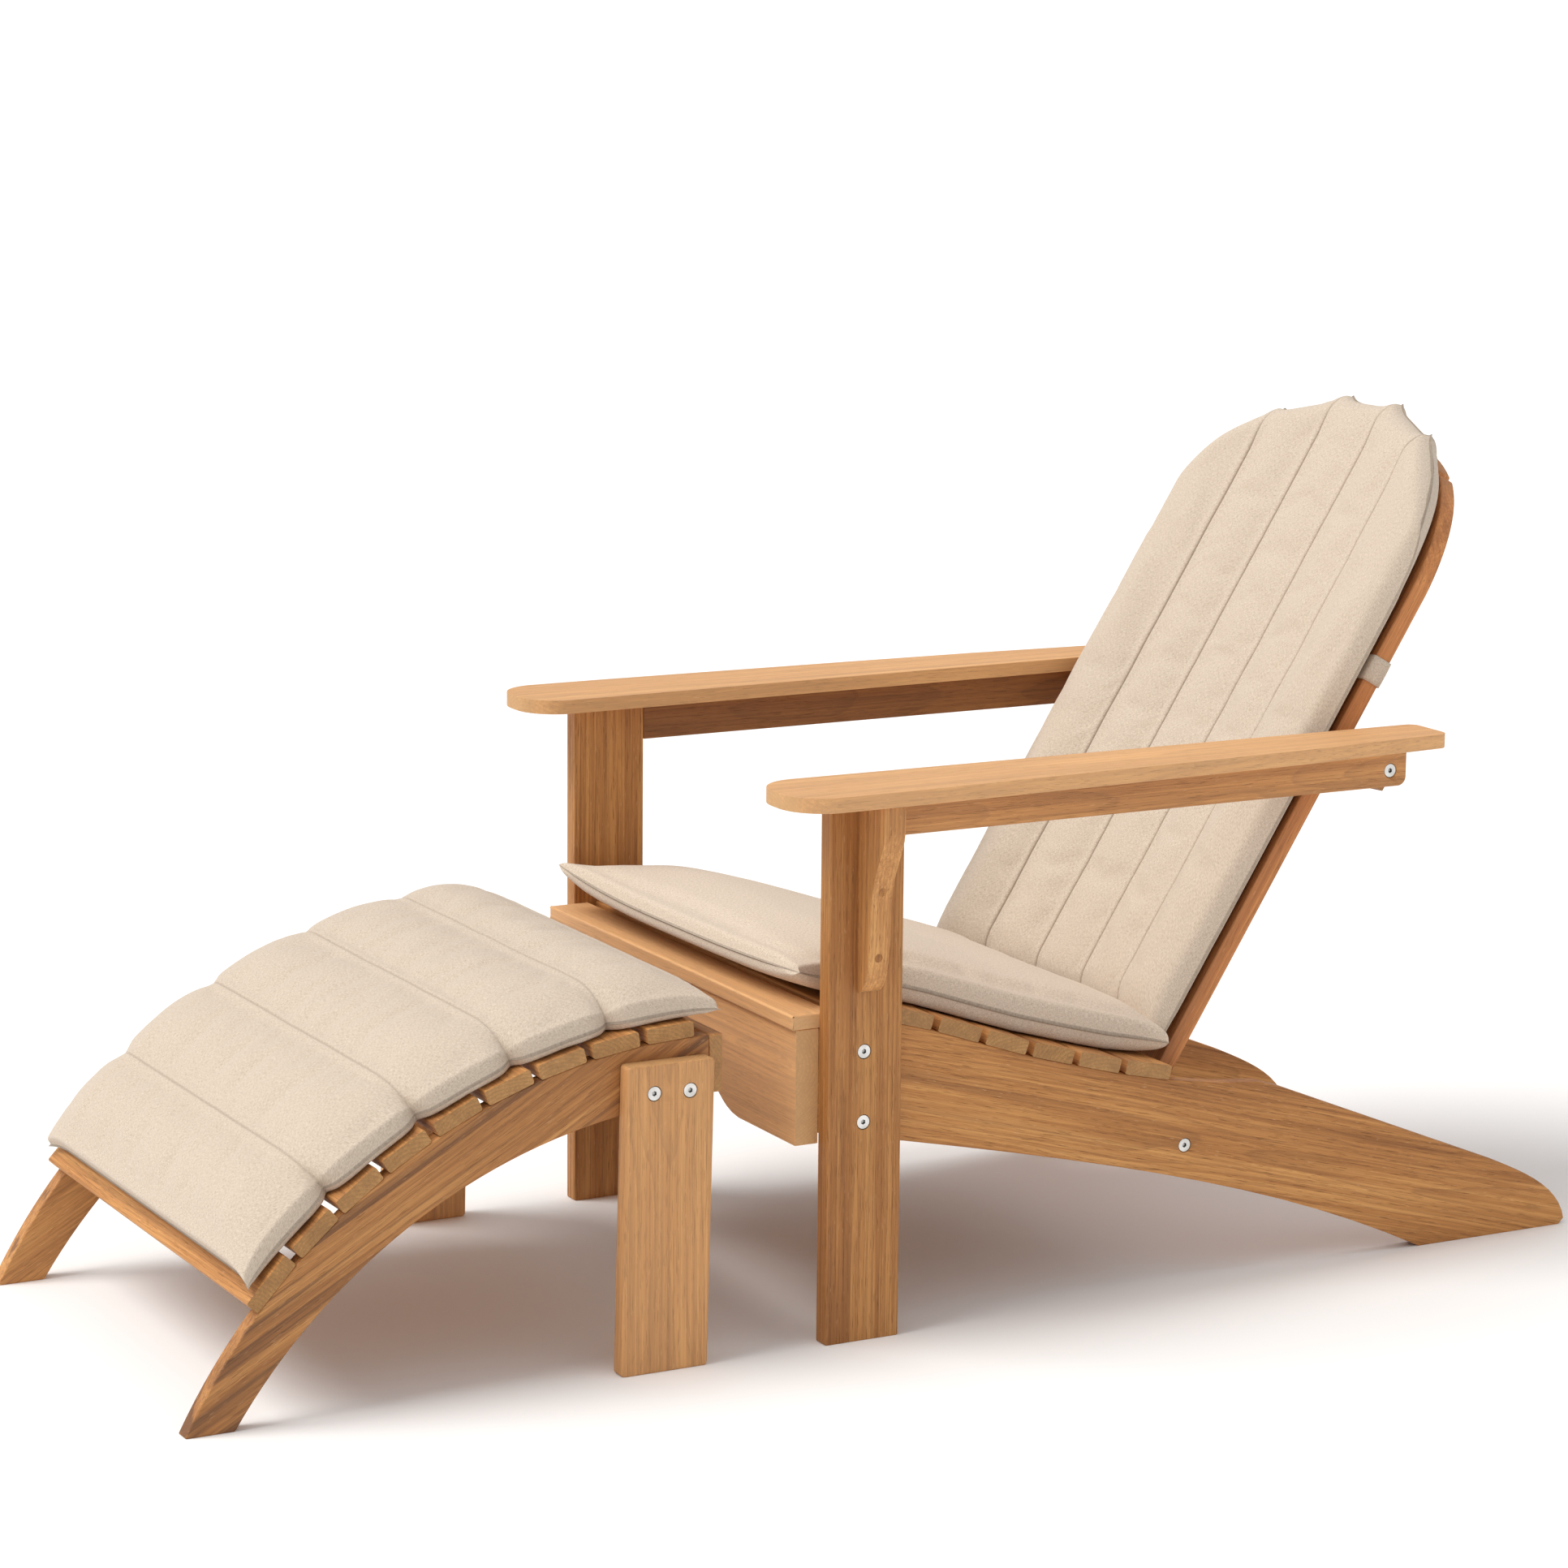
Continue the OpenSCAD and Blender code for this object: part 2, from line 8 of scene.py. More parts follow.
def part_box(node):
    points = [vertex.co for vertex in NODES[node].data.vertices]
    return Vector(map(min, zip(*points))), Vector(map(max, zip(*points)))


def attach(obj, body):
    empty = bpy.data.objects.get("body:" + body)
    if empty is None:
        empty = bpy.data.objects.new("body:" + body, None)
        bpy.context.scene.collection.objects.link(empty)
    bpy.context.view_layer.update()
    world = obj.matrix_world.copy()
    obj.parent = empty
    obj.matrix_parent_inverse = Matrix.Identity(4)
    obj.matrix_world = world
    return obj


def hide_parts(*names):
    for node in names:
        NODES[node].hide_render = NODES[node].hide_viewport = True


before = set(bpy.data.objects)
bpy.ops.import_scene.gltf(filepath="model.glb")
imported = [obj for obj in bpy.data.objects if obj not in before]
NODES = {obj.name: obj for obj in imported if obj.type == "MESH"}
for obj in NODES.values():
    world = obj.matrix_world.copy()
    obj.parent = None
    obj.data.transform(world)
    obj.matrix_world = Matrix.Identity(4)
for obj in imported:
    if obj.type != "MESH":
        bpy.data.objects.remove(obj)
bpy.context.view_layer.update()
scene = bpy.context.scene
rng = np.random.default_rng(7)

MM = 0.001

# ---- places
def corners(node):
    """Lowest and highest corner of a node's box."""
    low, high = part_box(node)
    return np.array(low), np.array(high)


FRONT_Y = corners("left_front_leg")[0][1]   # front face of the front legs

# The back leans: up runs along the slats, out is the way their front faces look.
LEAN = math.radians(57.8)
BACK_UP = np.array([0.0, math.cos(LEAN), math.sin(LEAN)])
BACK_OUT = np.array([0.0, -math.sin(LEAN), math.cos(LEAN)])
BACK_FOOT_Y = 0.4525        # from the legs' front face back to where the slats' line starts
BACK_FOOT_Z = 0.243
BACK_ORIGIN = np.array([0.0, FRONT_Y + BACK_FOOT_Y, BACK_FOOT_Z])
# Its slats stand in a hollow curve, each turned a little from the next.
BEND = 0.800                # radius of the hollow curve
BACK_WIDTH = 0.503
BACK_SLATS = 5
SLAT_GAP = 0.010
SLAT_STEP = (BACK_WIDTH + SLAT_GAP) / BACK_SLATS
SLAT_WIDTH = SLAT_STEP - SLAT_GAP
SLAT_TURN = SLAT_STEP / BEND
SLAT_DEPTH = 0.019
# How far the middle slat stands behind the outer edges of the outer slats.
SAG = BEND * (1 - math.cos(2 * SLAT_TURN)) + SLAT_WIDTH / 2 * math.sin(2 * SLAT_TURN)
# Three-centred arch over the slats, measured up from the back's origin.
ARCH_TOP = 0.788
ARCH_MARGIN = 0.6 * MM      # from the outer slats' edges out to where the arch comes down
ARCH_R = 0.297
SHOULDER_UP = 0.583

# The footstool's side boards are arched about this centre, and its slats lie on them.
STOOL_CENTRE = (FRONT_Y - 0.135, -0.297)
STOOL_RADIUS = 0.643
STOOL_SLAT_DEPTH = 0.016


# ---- node graphs
NO_OFFSET = (0.0, 0.0, 0.0)


class Graph:
    """A small helper that adds and links shader nodes."""

    def __init__(self, tree):
        self.tree = tree

    def add(self, kind, inputs=None, **settings):
        node = self.tree.nodes.new(kind)
        for key, value in settings.items():
            setattr(node, key, value)
        for key, value in (inputs or {}).items():
            self.put(node.inputs[key], value)
        return node

    def put(self, socket, value):
        if isinstance(value, bpy.types.NodeSocket):
            self.tree.links.new(value, socket)
        else:
            socket.default_value = value

    def math(self, operation, a, b=0.0):
        node = self.add("ShaderNodeMath", operation=operation)
        for socket, value in zip(node.inputs, (a, b)):
            self.put(socket, value)
        return node.outputs[0]

    def noise(self, vector, scale, detail, rough=0.5, offset=NO_OFFSET):
        """Soft noise. scale is roughly how many waves it has in a metre along each axis."""
        place = self.add("ShaderNodeMapping", {"Vector": vector, "Scale": scale, "Location": offset})
        node = self.add("ShaderNodeTexNoise", {"Vector": place.outputs[0], "Scale": 1.0,
                                               "Detail": detail, "Roughness": rough})
        return node.outputs["Fac"]

    def ramp(self, fac, stops):
        node = self.add("ShaderNodeValToRGB", {"Fac": fac})
        elements = node.color_ramp.elements
        while len(elements) < len(stops):
            elements.new(0.5)
        for element, (place, colour) in zip(elements, stops):
            element.position = place
            element.color = (*colour, 1.0)
        return node.outputs["Color"]

    def band(self, fac, low, high):
        """0 below low, 1 above high, smooth between."""
        node = self.add("ShaderNodeMapRange", {"Value": fac, "From Min": low, "From Max": high},
                        interpolation_type="SMOOTHSTEP")
        return node.outputs[0]

    def number_mix(self, fac, a, b):
        node = self.add("ShaderNodeMix", data_type="FLOAT")
        for socket, value in zip(node.inputs[:1] + node.inputs[2:4], (fac, a, b)):
            self.put(socket, value)
        return node.outputs[0]

    def mix(self, fac, a, b, blend="MIX"):
        node = self.add("ShaderNodeMix", data_type="RGBA", blend_type=blend)
        self.put(node.inputs[0], fac)
        self.put(node.inputs[6], a)
        self.put(node.inputs[7], b)
        return node.outputs[2]

    def layers(self, colour, marks):
        """Lays marks over the colour, each given as where it is, how strong, and its own colour."""
        for place, strength, mark in marks:
            colour = self.mix(self.math("MULTIPLY", place, strength), colour, mark)
        return colour


def new_material(name):
    material = bpy.data.materials.new(name)
    material.use_nodes = True
    material.node_tree.nodes.clear()
    return material, Graph(material.node_tree)


def close_material(graph, colour, roughness, height, distance, **settings):
    shader = graph.add("ShaderNodeBsdfPrincipled", {"Base Color": colour, "Roughness": roughness})
    for key, value in settings.items():
        shader.inputs[key.replace("_", " ")].default_value = value
    bump = graph.add("ShaderNodeBump", {"Height": height, "Distance": distance, "Strength": 1.0})
    graph.put(shader.inputs["Normal"], bump.outputs[0])
    output = graph.add("ShaderNodeOutputMaterial")
    graph.put(output.inputs["Surface"], shader.outputs[0])


# ---- teak
RINGS_PER_METRE = 240.0
PITH_DEPTH = 0.045          # how far behind the board's middle the pith lies
PITH_SWAY = (0.085, 0.06)   # how far the pith wanders across the board and through it
RING_UNEVENNESS = 0.9
TEAK_BUMP = 0.25 * MM
SIDE_FIBRES = {"hair": (9, 760, 760), "line": (3.2, 270, 270), "band": (1.5, 75, 75)}
END_FIBRES = {"hair": (700, 700, 700), "line": (320, 320, 320), "band": (30, 60, 60)}
TEAK_STOPS = [(0.38, (0.33, 0.130, 0.031)), (0.50, (0.535, 0.236, 0.064)),
              (0.61, (0.730, 0.370, 0.115))]
LATE_WOOD = (0.200, 0.076, 0.022, 1.0)
DARK_VEIN = (0.130, 0.046, 0.016, 1.0)
HAIR_LINE = (0.20, 0.076, 0.023, 1.0)
PORE = (0.120, 0.046, 0.016, 1.0)
FLECK = (0.84, 0.52, 0.26, 1.0)
END_GRAIN = (0.31, 0.190, 0.066, 1.0)
PALE_WOOD = (0.88, 0.55, 0.28, 1.0)
SHADED_TINT = (0.45, 0.36, 0.28, 1.0)
# warm tint: on the back slats it is partly their redder wood and partly painted warm glow of light
# bouncing on their edges
WARM_TINT_AND_PAINTED_GLOW = (1.0, 0.55, 0.40, 1.0)
GRAIN_NUMBERS = {"Figure": 0.5, "Streaks": 0.5, "Tone": 0.5, "Shade": 0.0, "WarmthAndGlow": 0.0, "End": 0.0}


def grain_tree():
    """Empty node group with the sockets of the board figure."""
    tree = bpy.data.node_groups.new("teak_grain", "ShaderNodeTree")
    face = tree.interface
    face.new_socket("Vector", in_out="INPUT", socket_type="NodeSocketVector")
    for name, value in GRAIN_NUMBERS.items():
        face.new_socket(name, in_out="INPUT", socket_type="NodeSocketFloat").default_value = value
    face.new_socket("Color", in_out="OUTPUT", socket_type="NodeSocketColor")
    for name in ("Roughness", "Height"):
        face.new_socket(name, in_out="OUTPUT", socket_type="NodeSocketFloat")
    return tree


def late_wood(g, at, figure, end):
    """Growth rings round a pith that wanders beside the board, each darkest just before its end."""
    wander_y = g.math("SUBTRACT", g.noise(at, (1.6, 5, 5), 3), 0.5)
    wander_z = g.math("SUBTRACT", g.noise(at, (2.1, 7, 7), 2, offset=(3, 1, 5)), 0.5)
    sway_y = g.math("MULTIPLY", wander_y, g.math("MULTIPLY", figure, PITH_SWAY[0]))
    sway_z = g.math("MULTIPLY", wander_z, g.math("MULTIPLY", figure, PITH_SWAY[1]))
    split = g.add("ShaderNodeSeparateXYZ", {"Vector": at})
    across = g.math("ADD", split.outputs[1], sway_y)
    depth = g.math("ADD", g.math("ADD", split.outputs[2], sway_z), PITH_DEPTH)
    radius = g.math("SQRT", g.math("ADD", g.math("MULTIPLY", across, across),
                                   g.math("MULTIPLY", depth, depth)))
    uneven = g.math("MULTIPLY", g.noise(at, (2, 60, 60), 2), RING_UNEVENNESS)
    ring = g.math("FRACT", g.math("ADD", g.math("MULTIPLY", radius, RINGS_PER_METRE), uneven))
    late = g.math("POWER", ring, g.number_mix(end, 3.0, 1.6))
    return g.math("MULTIPLY", late, g.math("SUBTRACT", 1.0, g.band(ring, 0.93, 1.0)))


def fibres(g, at, end, kind):
    """Fibres seen along the board, and the dots they make on its ends."""
    along = g.noise(at, SIDE_FIBRES[kind], 3, 0.6)
    dots = g.noise(at, END_FIBRES[kind], 2, 0.5)
    return g.number_mix(end, along, dots)


def grain_group():
    """Board figure from a vector in metres whose X runs along the grain."""
    tree = grain_tree()
    g = Graph(tree)
    inp = g.add("NodeGroupInput")
    out = g.add("NodeGroupOutput")
    at = inp.outputs["Vector"]
    figure, streaks, tone, shade, warmth_and_glow, end = (inp.outputs[name] for name in GRAIN_NUMBERS)

    late = late_wood(g, at, figure, end)
    hair, line, band = (fibres(g, at, end, kind) for kind in ("hair", "line", "band"))
    pores = g.band(g.noise(at, (48, 1250, 1250), 1, 0.4), 0.62, 0.74)
    flecks = g.band(g.noise(at, (95, 620, 620), 1, 0.4, offset=(9, 4, 2)), 0.66, 0.78)
    cloud = g.noise(at, (2.0, 12, 12), 3, 0.55)
    vein = g.noise(at, (0.8, 62, 62), 3, 0.55, offset=(5, 7, 1))
    vein = g.band(g.math("ADD", vein, g.math("MULTIPLY", streaks, 0.07)), 0.59, 0.69)

    body = g.math("ADD", g.math("MULTIPLY", cloud, 0.30),
                  g.math("ADD", g.math("MULTIPLY", band, 0.35), g.math("MULTIPLY", line, 0.35)))
    colour = g.layers(g.ramp(body, TEAK_STOPS), [
        (late, g.number_mix(end, 0.42, 0.60), LATE_WOOD),
        (g.math("MULTIPLY", vein, streaks), g.number_mix(end, 0.85, 0.1), DARK_VEIN),
        (g.band(hair, 0.48, 0.70), 0.34, HAIR_LINE),
        (pores, 0.45, PORE),
        (flecks, 0.26, FLECK),
        (end, 0.5, END_GRAIN)])
    colour = g.mix(tone, colour, g.mix(0.55, colour, PALE_WOOD))
    # the warm tint is partly the wood's own colour and partly painted warm glow
    for amount, tint in ((shade, SHADED_TINT), (warmth_and_glow, WARM_TINT_AND_PAINTED_GLOW)):
        colour = g.mix(amount, colour, g.mix(1.0, colour, tint, "MULTIPLY"))
    g.put(out.inputs["Color"], colour)
    rough = g.math("ADD", g.math("MULTIPLY", hair, 0.16), g.math("MULTIPLY", pores, 0.2))
    g.put(out.inputs["Roughness"], g.math("ADD", 0.50, rough))
    hollows = g.math("ADD", g.math("MULTIPLY", pores, 0.8), g.math("MULTIPLY", late, 0.15))
    g.put(out.inputs["Height"], g.math("SUBTRACT", g.math("MULTIPLY", hair, 0.5), hollows))
    return tree


GRAIN_GROUP = grain_group()


def axes_for(along, face):
    """Euler angles that turn frame coordinates into (along, across, through) coordinates."""
    x = Vector(along).normalized()
    z = Vector(face)
    z = (z - x * z.dot(x)).normalized()
    y = z.cross(x)
    return Matrix((x, y, z)).to_euler("XYZ")


def teak(name, along, face, figure, streaks, tone, shade, warmth_and_glow=0.0):
    """Teak for one board: along is its grain direction, face the normal of its wide face."""
    material, g = new_material("teak_" + name)
    coords = g.add("ShaderNodeTexCoord")
    angles = axes_for(along, face)
    turn = g.add("ShaderNodeMapping", {"Vector": coords.outputs["Object"], "Rotation": angles})
    low, high = corners(name)
    middle = angles.to_matrix() @ Vector((low + high) / 2)
    # every board is cut from its own place along the tree, a little off the pith's line
    along_tree = rng.uniform(-40, 40)
    across_tree = rng.uniform(-0.03, 0.03)
    through_tree = rng.uniform(-0.01, 0.01)
    shift = (along_tree, across_tree - middle[1], through_tree - middle[2])
    place = g.add("ShaderNodeMapping", {"Vector": turn.outputs[0], "Location": shift})
    facing = g.add("ShaderNodeVectorMath", operation="DOT_PRODUCT")
    g.put(facing.inputs[0], g.add("ShaderNodeNewGeometry").outputs["True Normal"])
    facing.inputs[1].default_value = Vector(along).normalized()
    end = g.band(g.math("ABSOLUTE", facing.outputs["Value"]), 0.70, 0.95)
    grain = g.add("ShaderNodeGroup", {"Vector": place.outputs[0], "Figure": figure, "Streaks": streaks,
                                      "Tone": tone, "Shade": shade, "WarmthAndGlow": warmth_and_glow,
                                      "End": end}, node_tree=GRAIN_GROUP)
    close_material(g, grain.outputs["Color"], grain.outputs["Roughness"], grain.outputs["Height"],
                   TEAK_BUMP, Specular_IOR_Level=0.42)
    return material


TONE_SPREAD = 0.06
# the back slats' strong warm tint is partly their redder wood and partly painted warm glow on their
# edges
BACK_WARMTH_AND_PAINTED_GLOW = 0.42
OTHER_WARMTH = 0.06
SHADES = {"right_arm_rail": 1.0, "right_front_leg": 0.15, "left_front_leg": 0.40,
          "stool_left_side_board": 0.32}
WOODEN_PINS = ("bracket_plugs", "seat_slat_dowels", "apron_dowels", "arm_dowels",
               "stool_slat_dowels", "stool_end_dowels")
X_AXIS, Y_AXIS, Z_AXIS = (1, 0, 0), (0, 1, 0), (0, 0, 1)


def board_table():
    """For each board: grain direction, wide face, figure, streaks, tone, rounding of edges in mm."""
    x, y, z = X_AXIS, Y_AXIS, Z_AXIS
    up = tuple(BACK_UP)
    out = tuple(BACK_OUT)
    boards = {}
    for side in ("left", "right"):
        boards[side + "_side_board"] = ((0, 1, -0.27), x, 0.55, 0.35, 0.0, 1.8)
        boards[side + "_front_leg"] = (z, x, 0.25, 0.25, 0.0, 2.0)
        boards[side + "_armrest"] = (y, z, 0.5, 0.3, 0.82, 2.6)
        boards[side + "_arm_rail"] = (y, x, 0.6, 0.3, 0.30, 1.6)
        boards[side + "_arm_bracket"] = (z, y, 0.4, 0.2, 0.1, 0)
        boards["stool_" + side + "_side_board"] = ((0, 1, 0.56), x, 0.75, 0.95, 0.15, 1.8)
        boards["stool_" + side + "_leg"] = (z, x, 0.6, 0.3, 0.55, 4.0)
    boards["front_apron"] = (x, y, 0.9, 0.25, 0.7, 1.6)
    boards["seat_nosing"] = (x, z, 0.6, 0.3, 0.95, 2.0)
    boards["stool_end_board"] = (x, y, 0.7, 0.3, 0.2, 3.0)
    boards["lower_back_rail"] = (x, z, 0.5, 0.3, 0.0, 1.5)
    boards["arm_level_back_rail"] = (x, out, 0.5, 0.3, 0.0, 1.5)
    boards["upper_back_batten"] = (x, out, 0.5, 0.3, 0.1, 1.5)
    for i in range(1, 8):
        boards[f"seat_slat_{i}"] = (x, z, 0.6, 0.3, 0.1, 0)
    for i in range(1, 1 + BACK_SLATS):
        boards[f"back_slat_{i}"] = (up, out, 0.5, 0.35, 0.25, 1.8)
    for i in range(1, 10):
        boards[f"stool_slat_{i}"] = (x, z, 0.6, 0.35, 0.1, 0)
    return boards


def fit_boards():
    """Gives every board its own teak, softened edges and smooth shading."""
    for name, (along, face, figure, streaks, tone, edge) in board_table().items():
        tone = max(0.0, tone + rng.uniform(-TONE_SPREAD, TONE_SPREAD))
        warmth_and_glow = BACK_WARMTH_AND_PAINTED_GLOW if name.startswith("back_slat") else OTHER_WARMTH
        board = teak(name, along, face, figure, streaks, tone, SHADES.get(name, 0.0), warmth_and_glow)
        paint(NODES[name], board)
        soften(NODES[name], edge * MM)
    for name in WOODEN_PINS:
        pin = teak(name, Z_AXIS, X_AXIS, figure=0.3, streaks=0.2, tone=0.0, shade=0.3)
        paint(NODES[name], pin)


def paint(obj, material):
    obj.data.materials.clear()
    obj.data.materials.append(material)


SHARP_ANGLE = math.radians(35)
SHORT_EDGE = 2.6 * MM


def long_edge_marker():
    """Node group that marks sharp edges for rounding, leaving the short ones round bolt holes."""
    tree = bpy.data.node_groups.new("mark_long_edges", "GeometryNodeTree")
    tree.interface.new_socket("Geometry", in_out="INPUT", socket_type="NodeSocketGeometry")
    tree.interface.new_socket("Geometry", in_out="OUTPUT", socket_type="NodeSocketGeometry")
    g = Graph(tree)
    angle = g.add("GeometryNodeInputMeshEdgeAngle").outputs[0]
    ends = g.add("GeometryNodeInputMeshEdgeVertices")
    span = g.add("ShaderNodeVectorMath", operation="DISTANCE")
    g.put(span.inputs[0], ends.outputs["Position 1"])
    g.put(span.inputs[1], ends.outputs["Position 2"])
    sharp = g.math("GREATER_THAN", angle, SHARP_ANGLE)
    long = g.math("GREATER_THAN", span.outputs["Value"], SHORT_EDGE)
    store = g.add("GeometryNodeStoreNamedAttribute", data_type="FLOAT", domain="EDGE")
    store.inputs["Name"].default_value = "bevel_weight_edge"
    g.put(store.inputs["Value"], g.math("MULTIPLY", sharp, long))
    g.put(store.inputs["Geometry"], g.add("NodeGroupInput").outputs[0])
    g.put(g.add("NodeGroupOutput").inputs[0], store.outputs[0])
    return tree


MARK_LONG_EDGES = long_edge_marker()


def soften(obj, width):
    """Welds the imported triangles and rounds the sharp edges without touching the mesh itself."""
    weld = obj.modifiers.new("weld", "WELD")
    weld.merge_threshold = 0.01 * MM
    if width > 0:
        mark = obj.modifiers.new("mark", "NODES")
        mark.node_group = MARK_LONG_EDGES
        bevel = obj.modifiers.new("edge", "BEVEL")
        bevel.width = width
        bevel.segments = 3
        bevel.limit_method = "WEIGHT"
        bevel.use_clamp_overlap = True
        normals = obj.modifiers.new("normals", "WEIGHTED_NORMAL")
        normals.keep_sharp = False
        normals.weight = 50
    else:
        split = obj.modifiers.new("split", "EDGE_SPLIT")
        split.split_angle = SHARP_ANGLE


# ---- metal
STEEL_STOPS = [(0.35, (0.60, 0.59, 0.57)), (0.7, (0.80, 0.79, 0.77))]
SOCKET_SHADOW = (0.03, 0.028, 0.025, 1.0)
STEEL_BUMP = 0.03 * MM


def steel_material():
    """Brushed steel, nearly black down in the hexagon sockets."""
    material, g = new_material("stainless")
    coords = g.add("ShaderNodeTexCoord").outputs["Object"]
    brushed = g.noise(coords, (400, 2600, 400), 3)
    smudge = g.noise(coords, (90, 90, 90), 2)
    colour = g.ramp(smudge, STEEL_STOPS)
    open_sky = g.add("ShaderNodeAmbientOcclusion", {"Distance": 4 * MM}, samples=6, only_local=True)
    colour = g.mix(g.band(open_sky.outputs["AO"], 0.35, 0.72), SOCKET_SHADOW, colour)
    rough = g.math("ADD", 0.24, g.math("MULTIPLY", brushed, 0.2))
    close_material(g, colour, rough, brushed, STEEL_BUMP, Metallic=1.0)
    return material


# ---- cloth
THREAD_PITCH = 1.3 * MM
CLOTH_BUMP = 0.07 * MM
SEAM_BAND = (0.78, 0.92)    # the part of the seam attribute that is drawn as the edge seam
EDGE_SEAM_SHADE = 0.55      # how dark the edge seams are drawn, out of 1
SEAM_DEPTH = 0.85           # how much of the cloth's own colour a darkness of 1 hides
CLOTH_STOPS = [(0.37, (0.48, 0.382, 0.292)), (0.50, (0.625, 0.520, 0.415)),
               (0.61, (0.72, 0.612, 0.50))]
THREAD_GAP = (0.42, 0.33, 0.245, 1.0)
BLOTCH = (0.52, 0.42, 0.31, 1.0)
SEAM_SHADOW = (0.11, 0.075, 0.05, 1.0)


def drawn_seams(g):
    """Strength of the edge seams and sewn channels, from the attributes of the mesh."""
    edge = g.band(g.add("ShaderNodeAttribute", attribute_name="seam").outputs["Fac"], *SEAM_BAND)
    channel = g.add("ShaderNodeAttribute", attribute_name="channel").outputs["Fac"]
    return g.math("MAXIMUM", g.math("MULTIPLY", edge, EDGE_SEAM_SHADE), channel)


def cloth_material(name, tone):
    """Plain-woven heathered cloth, its colour scaled by tone; a tone above the other pads' is painted
    light. The flat attribute holds the cloth's own X and Y in metres.
    """
    material, g = new_material(name)
    flat = g.add("ShaderNodeAttribute", attribute_name="flat").outputs["Vector"]
    split = g.add("ShaderNodeSeparateXYZ", {"Vector": flat})
    pitch = 2 * math.pi / THREAD_PITCH
    warp = g.math("SINE", g.math("MULTIPLY", split.outputs[0], pitch))
    weft = g.math("SINE", g.math("MULTIPLY", split.outputs[1], pitch))
    weave = g.math("MULTIPLY", warp, weft)
    slub_u = g.noise(flat, (260, 1150, 1), 2, 0.6)
    slub_v = g.noise(flat, (1150, 260, 1), 2, 0.6, offset=(5, 3, 0))
    heather = g.math("ADD", g.math("MULTIPLY", slub_u, 0.5), g.math("MULTIPLY", slub_v, 0.5))
    blotch = g.noise(flat, (16, 16, 1), 3, 0.6)
    colour = g.ramp(heather, [(place, tuple(tone * c for c in stop)) for place, stop in CLOTH_STOPS])
    colour = g.layers(colour, [(g.band(weave, 0.2, 1.0), 0.12, THREAD_GAP),
                               (blotch, 0.05, BLOTCH),
                               (drawn_seams(g), SEAM_DEPTH, SEAM_SHADOW)])
    height = g.math("ADD", g.math("MULTIPLY", weave, 0.45), g.math("MULTIPLY", heather, 0.9))
    close_material(g, colour, 0.88, height, CLOTH_BUMP, Sheen_Weight=0.15, Sheen_Roughness=0.5,
                   Specular_IOR_Level=0.2)
    return material


# ---- pad shapes
LIP = 2.0 * MM              # flat strip of cloth beside the edge seam
SLACK = 0.86                # how full the pad is before the simulation blows it up
SWELL_LIMIT = 9 * MM        # farthest that the simulation may move the cloth
CORNER_REACH = 0.022        # how far in from a corner the pad is pressed flat
TIP_REACH = 0.016           # how far in from a corner its poking out is felt
BOW = 0.003                 # how far each side curves in towards the pad's two ends
BOW_REACH = 0.05            # how far in from the side that is felt
CHANNEL_REACH = 0.010       # how far to each side a sewn channel's ends are pulled in
CHANNEL_END = 0.022         # how far in from the edge they are pressed flat
CHANNEL_BEAT = 0.024        # from one gather to the next: along a channel,
FAN_BEAT = 0.016            # round its ends,
RIM_BEAT = 0.031            # and along the edge seam
BARE_RIM = 0.004            # strip beside the edge seam where the gathers fade out
FILL_REACH = 0.045          # how far in from the edge the simulation's filling fades in
FINE_STEPS = (1.0, 2.0, 3.0, 4.2, 6.0, 9.0, 13.0, 18.0)     # grid places in mm from a seam
SMALLEST_STEP = 0.8 * MM


def spaced(length, features, step):
    """Grid places from 0 to length, closer together beside each feature."""
    close = set()
    for f in features:
        close.add(round(f, 6))
        for d in FINE_STEPS:
            for side in (-1, 1):
                p = f + side * d * MM
                if 0 < p < length:
                    close.add(round(p, 6))
    close = sorted(close)
    kept = []
    for p in close:
        if not kept or p - kept[-1] > SMALLEST_STEP:
            kept.append(p)
        elif round(p, 6) in [round(f, 6) for f in features]:
            kept[-1] = p
    places = []
    for a, b in zip(kept, kept[1:]):
        parts = max(1, int(round((b - a) / step)))
        places += [a + (b - a) * i / parts for i in range(parts)]
    places.append(kept[-1])
    return np.array(places)


def smooth_noise(x, y, seed, scale):
    """A smooth repeatable value between -1 and 1 at each x, y."""
    total = np.zeros(np.broadcast(x, y).shape)
    table = np.random.default_rng(seed)
    for octave in range(4):
        angle, phase = table.uniform(0, 2 * np.pi, 2)
        f = scale * (1.0 + 0.55 * octave)
        total += np.sin(f * (x * np.cos(angle) + y * np.sin(angle)) * 2 * np.pi + phase
                        + 1.7 * np.sin(f * 0.6 * (y * np.cos(angle) - x * np.sin(angle)) * 2 * np.pi))
    return total / 4


def rise(distance, reach, power):
    """0 at the edge, 1 past reach, with a round shoulder between."""
    q = 1 - np.clip(distance / reach, 0, 1)
    return (1 - q ** power) ** (1 / power)


def slope(distance, reach, power):
    """0 at the edge, 1 past reach, steepest at the edge and easing off."""
    return 1 - (1 - np.clip(distance / reach, 0, 1)) ** power


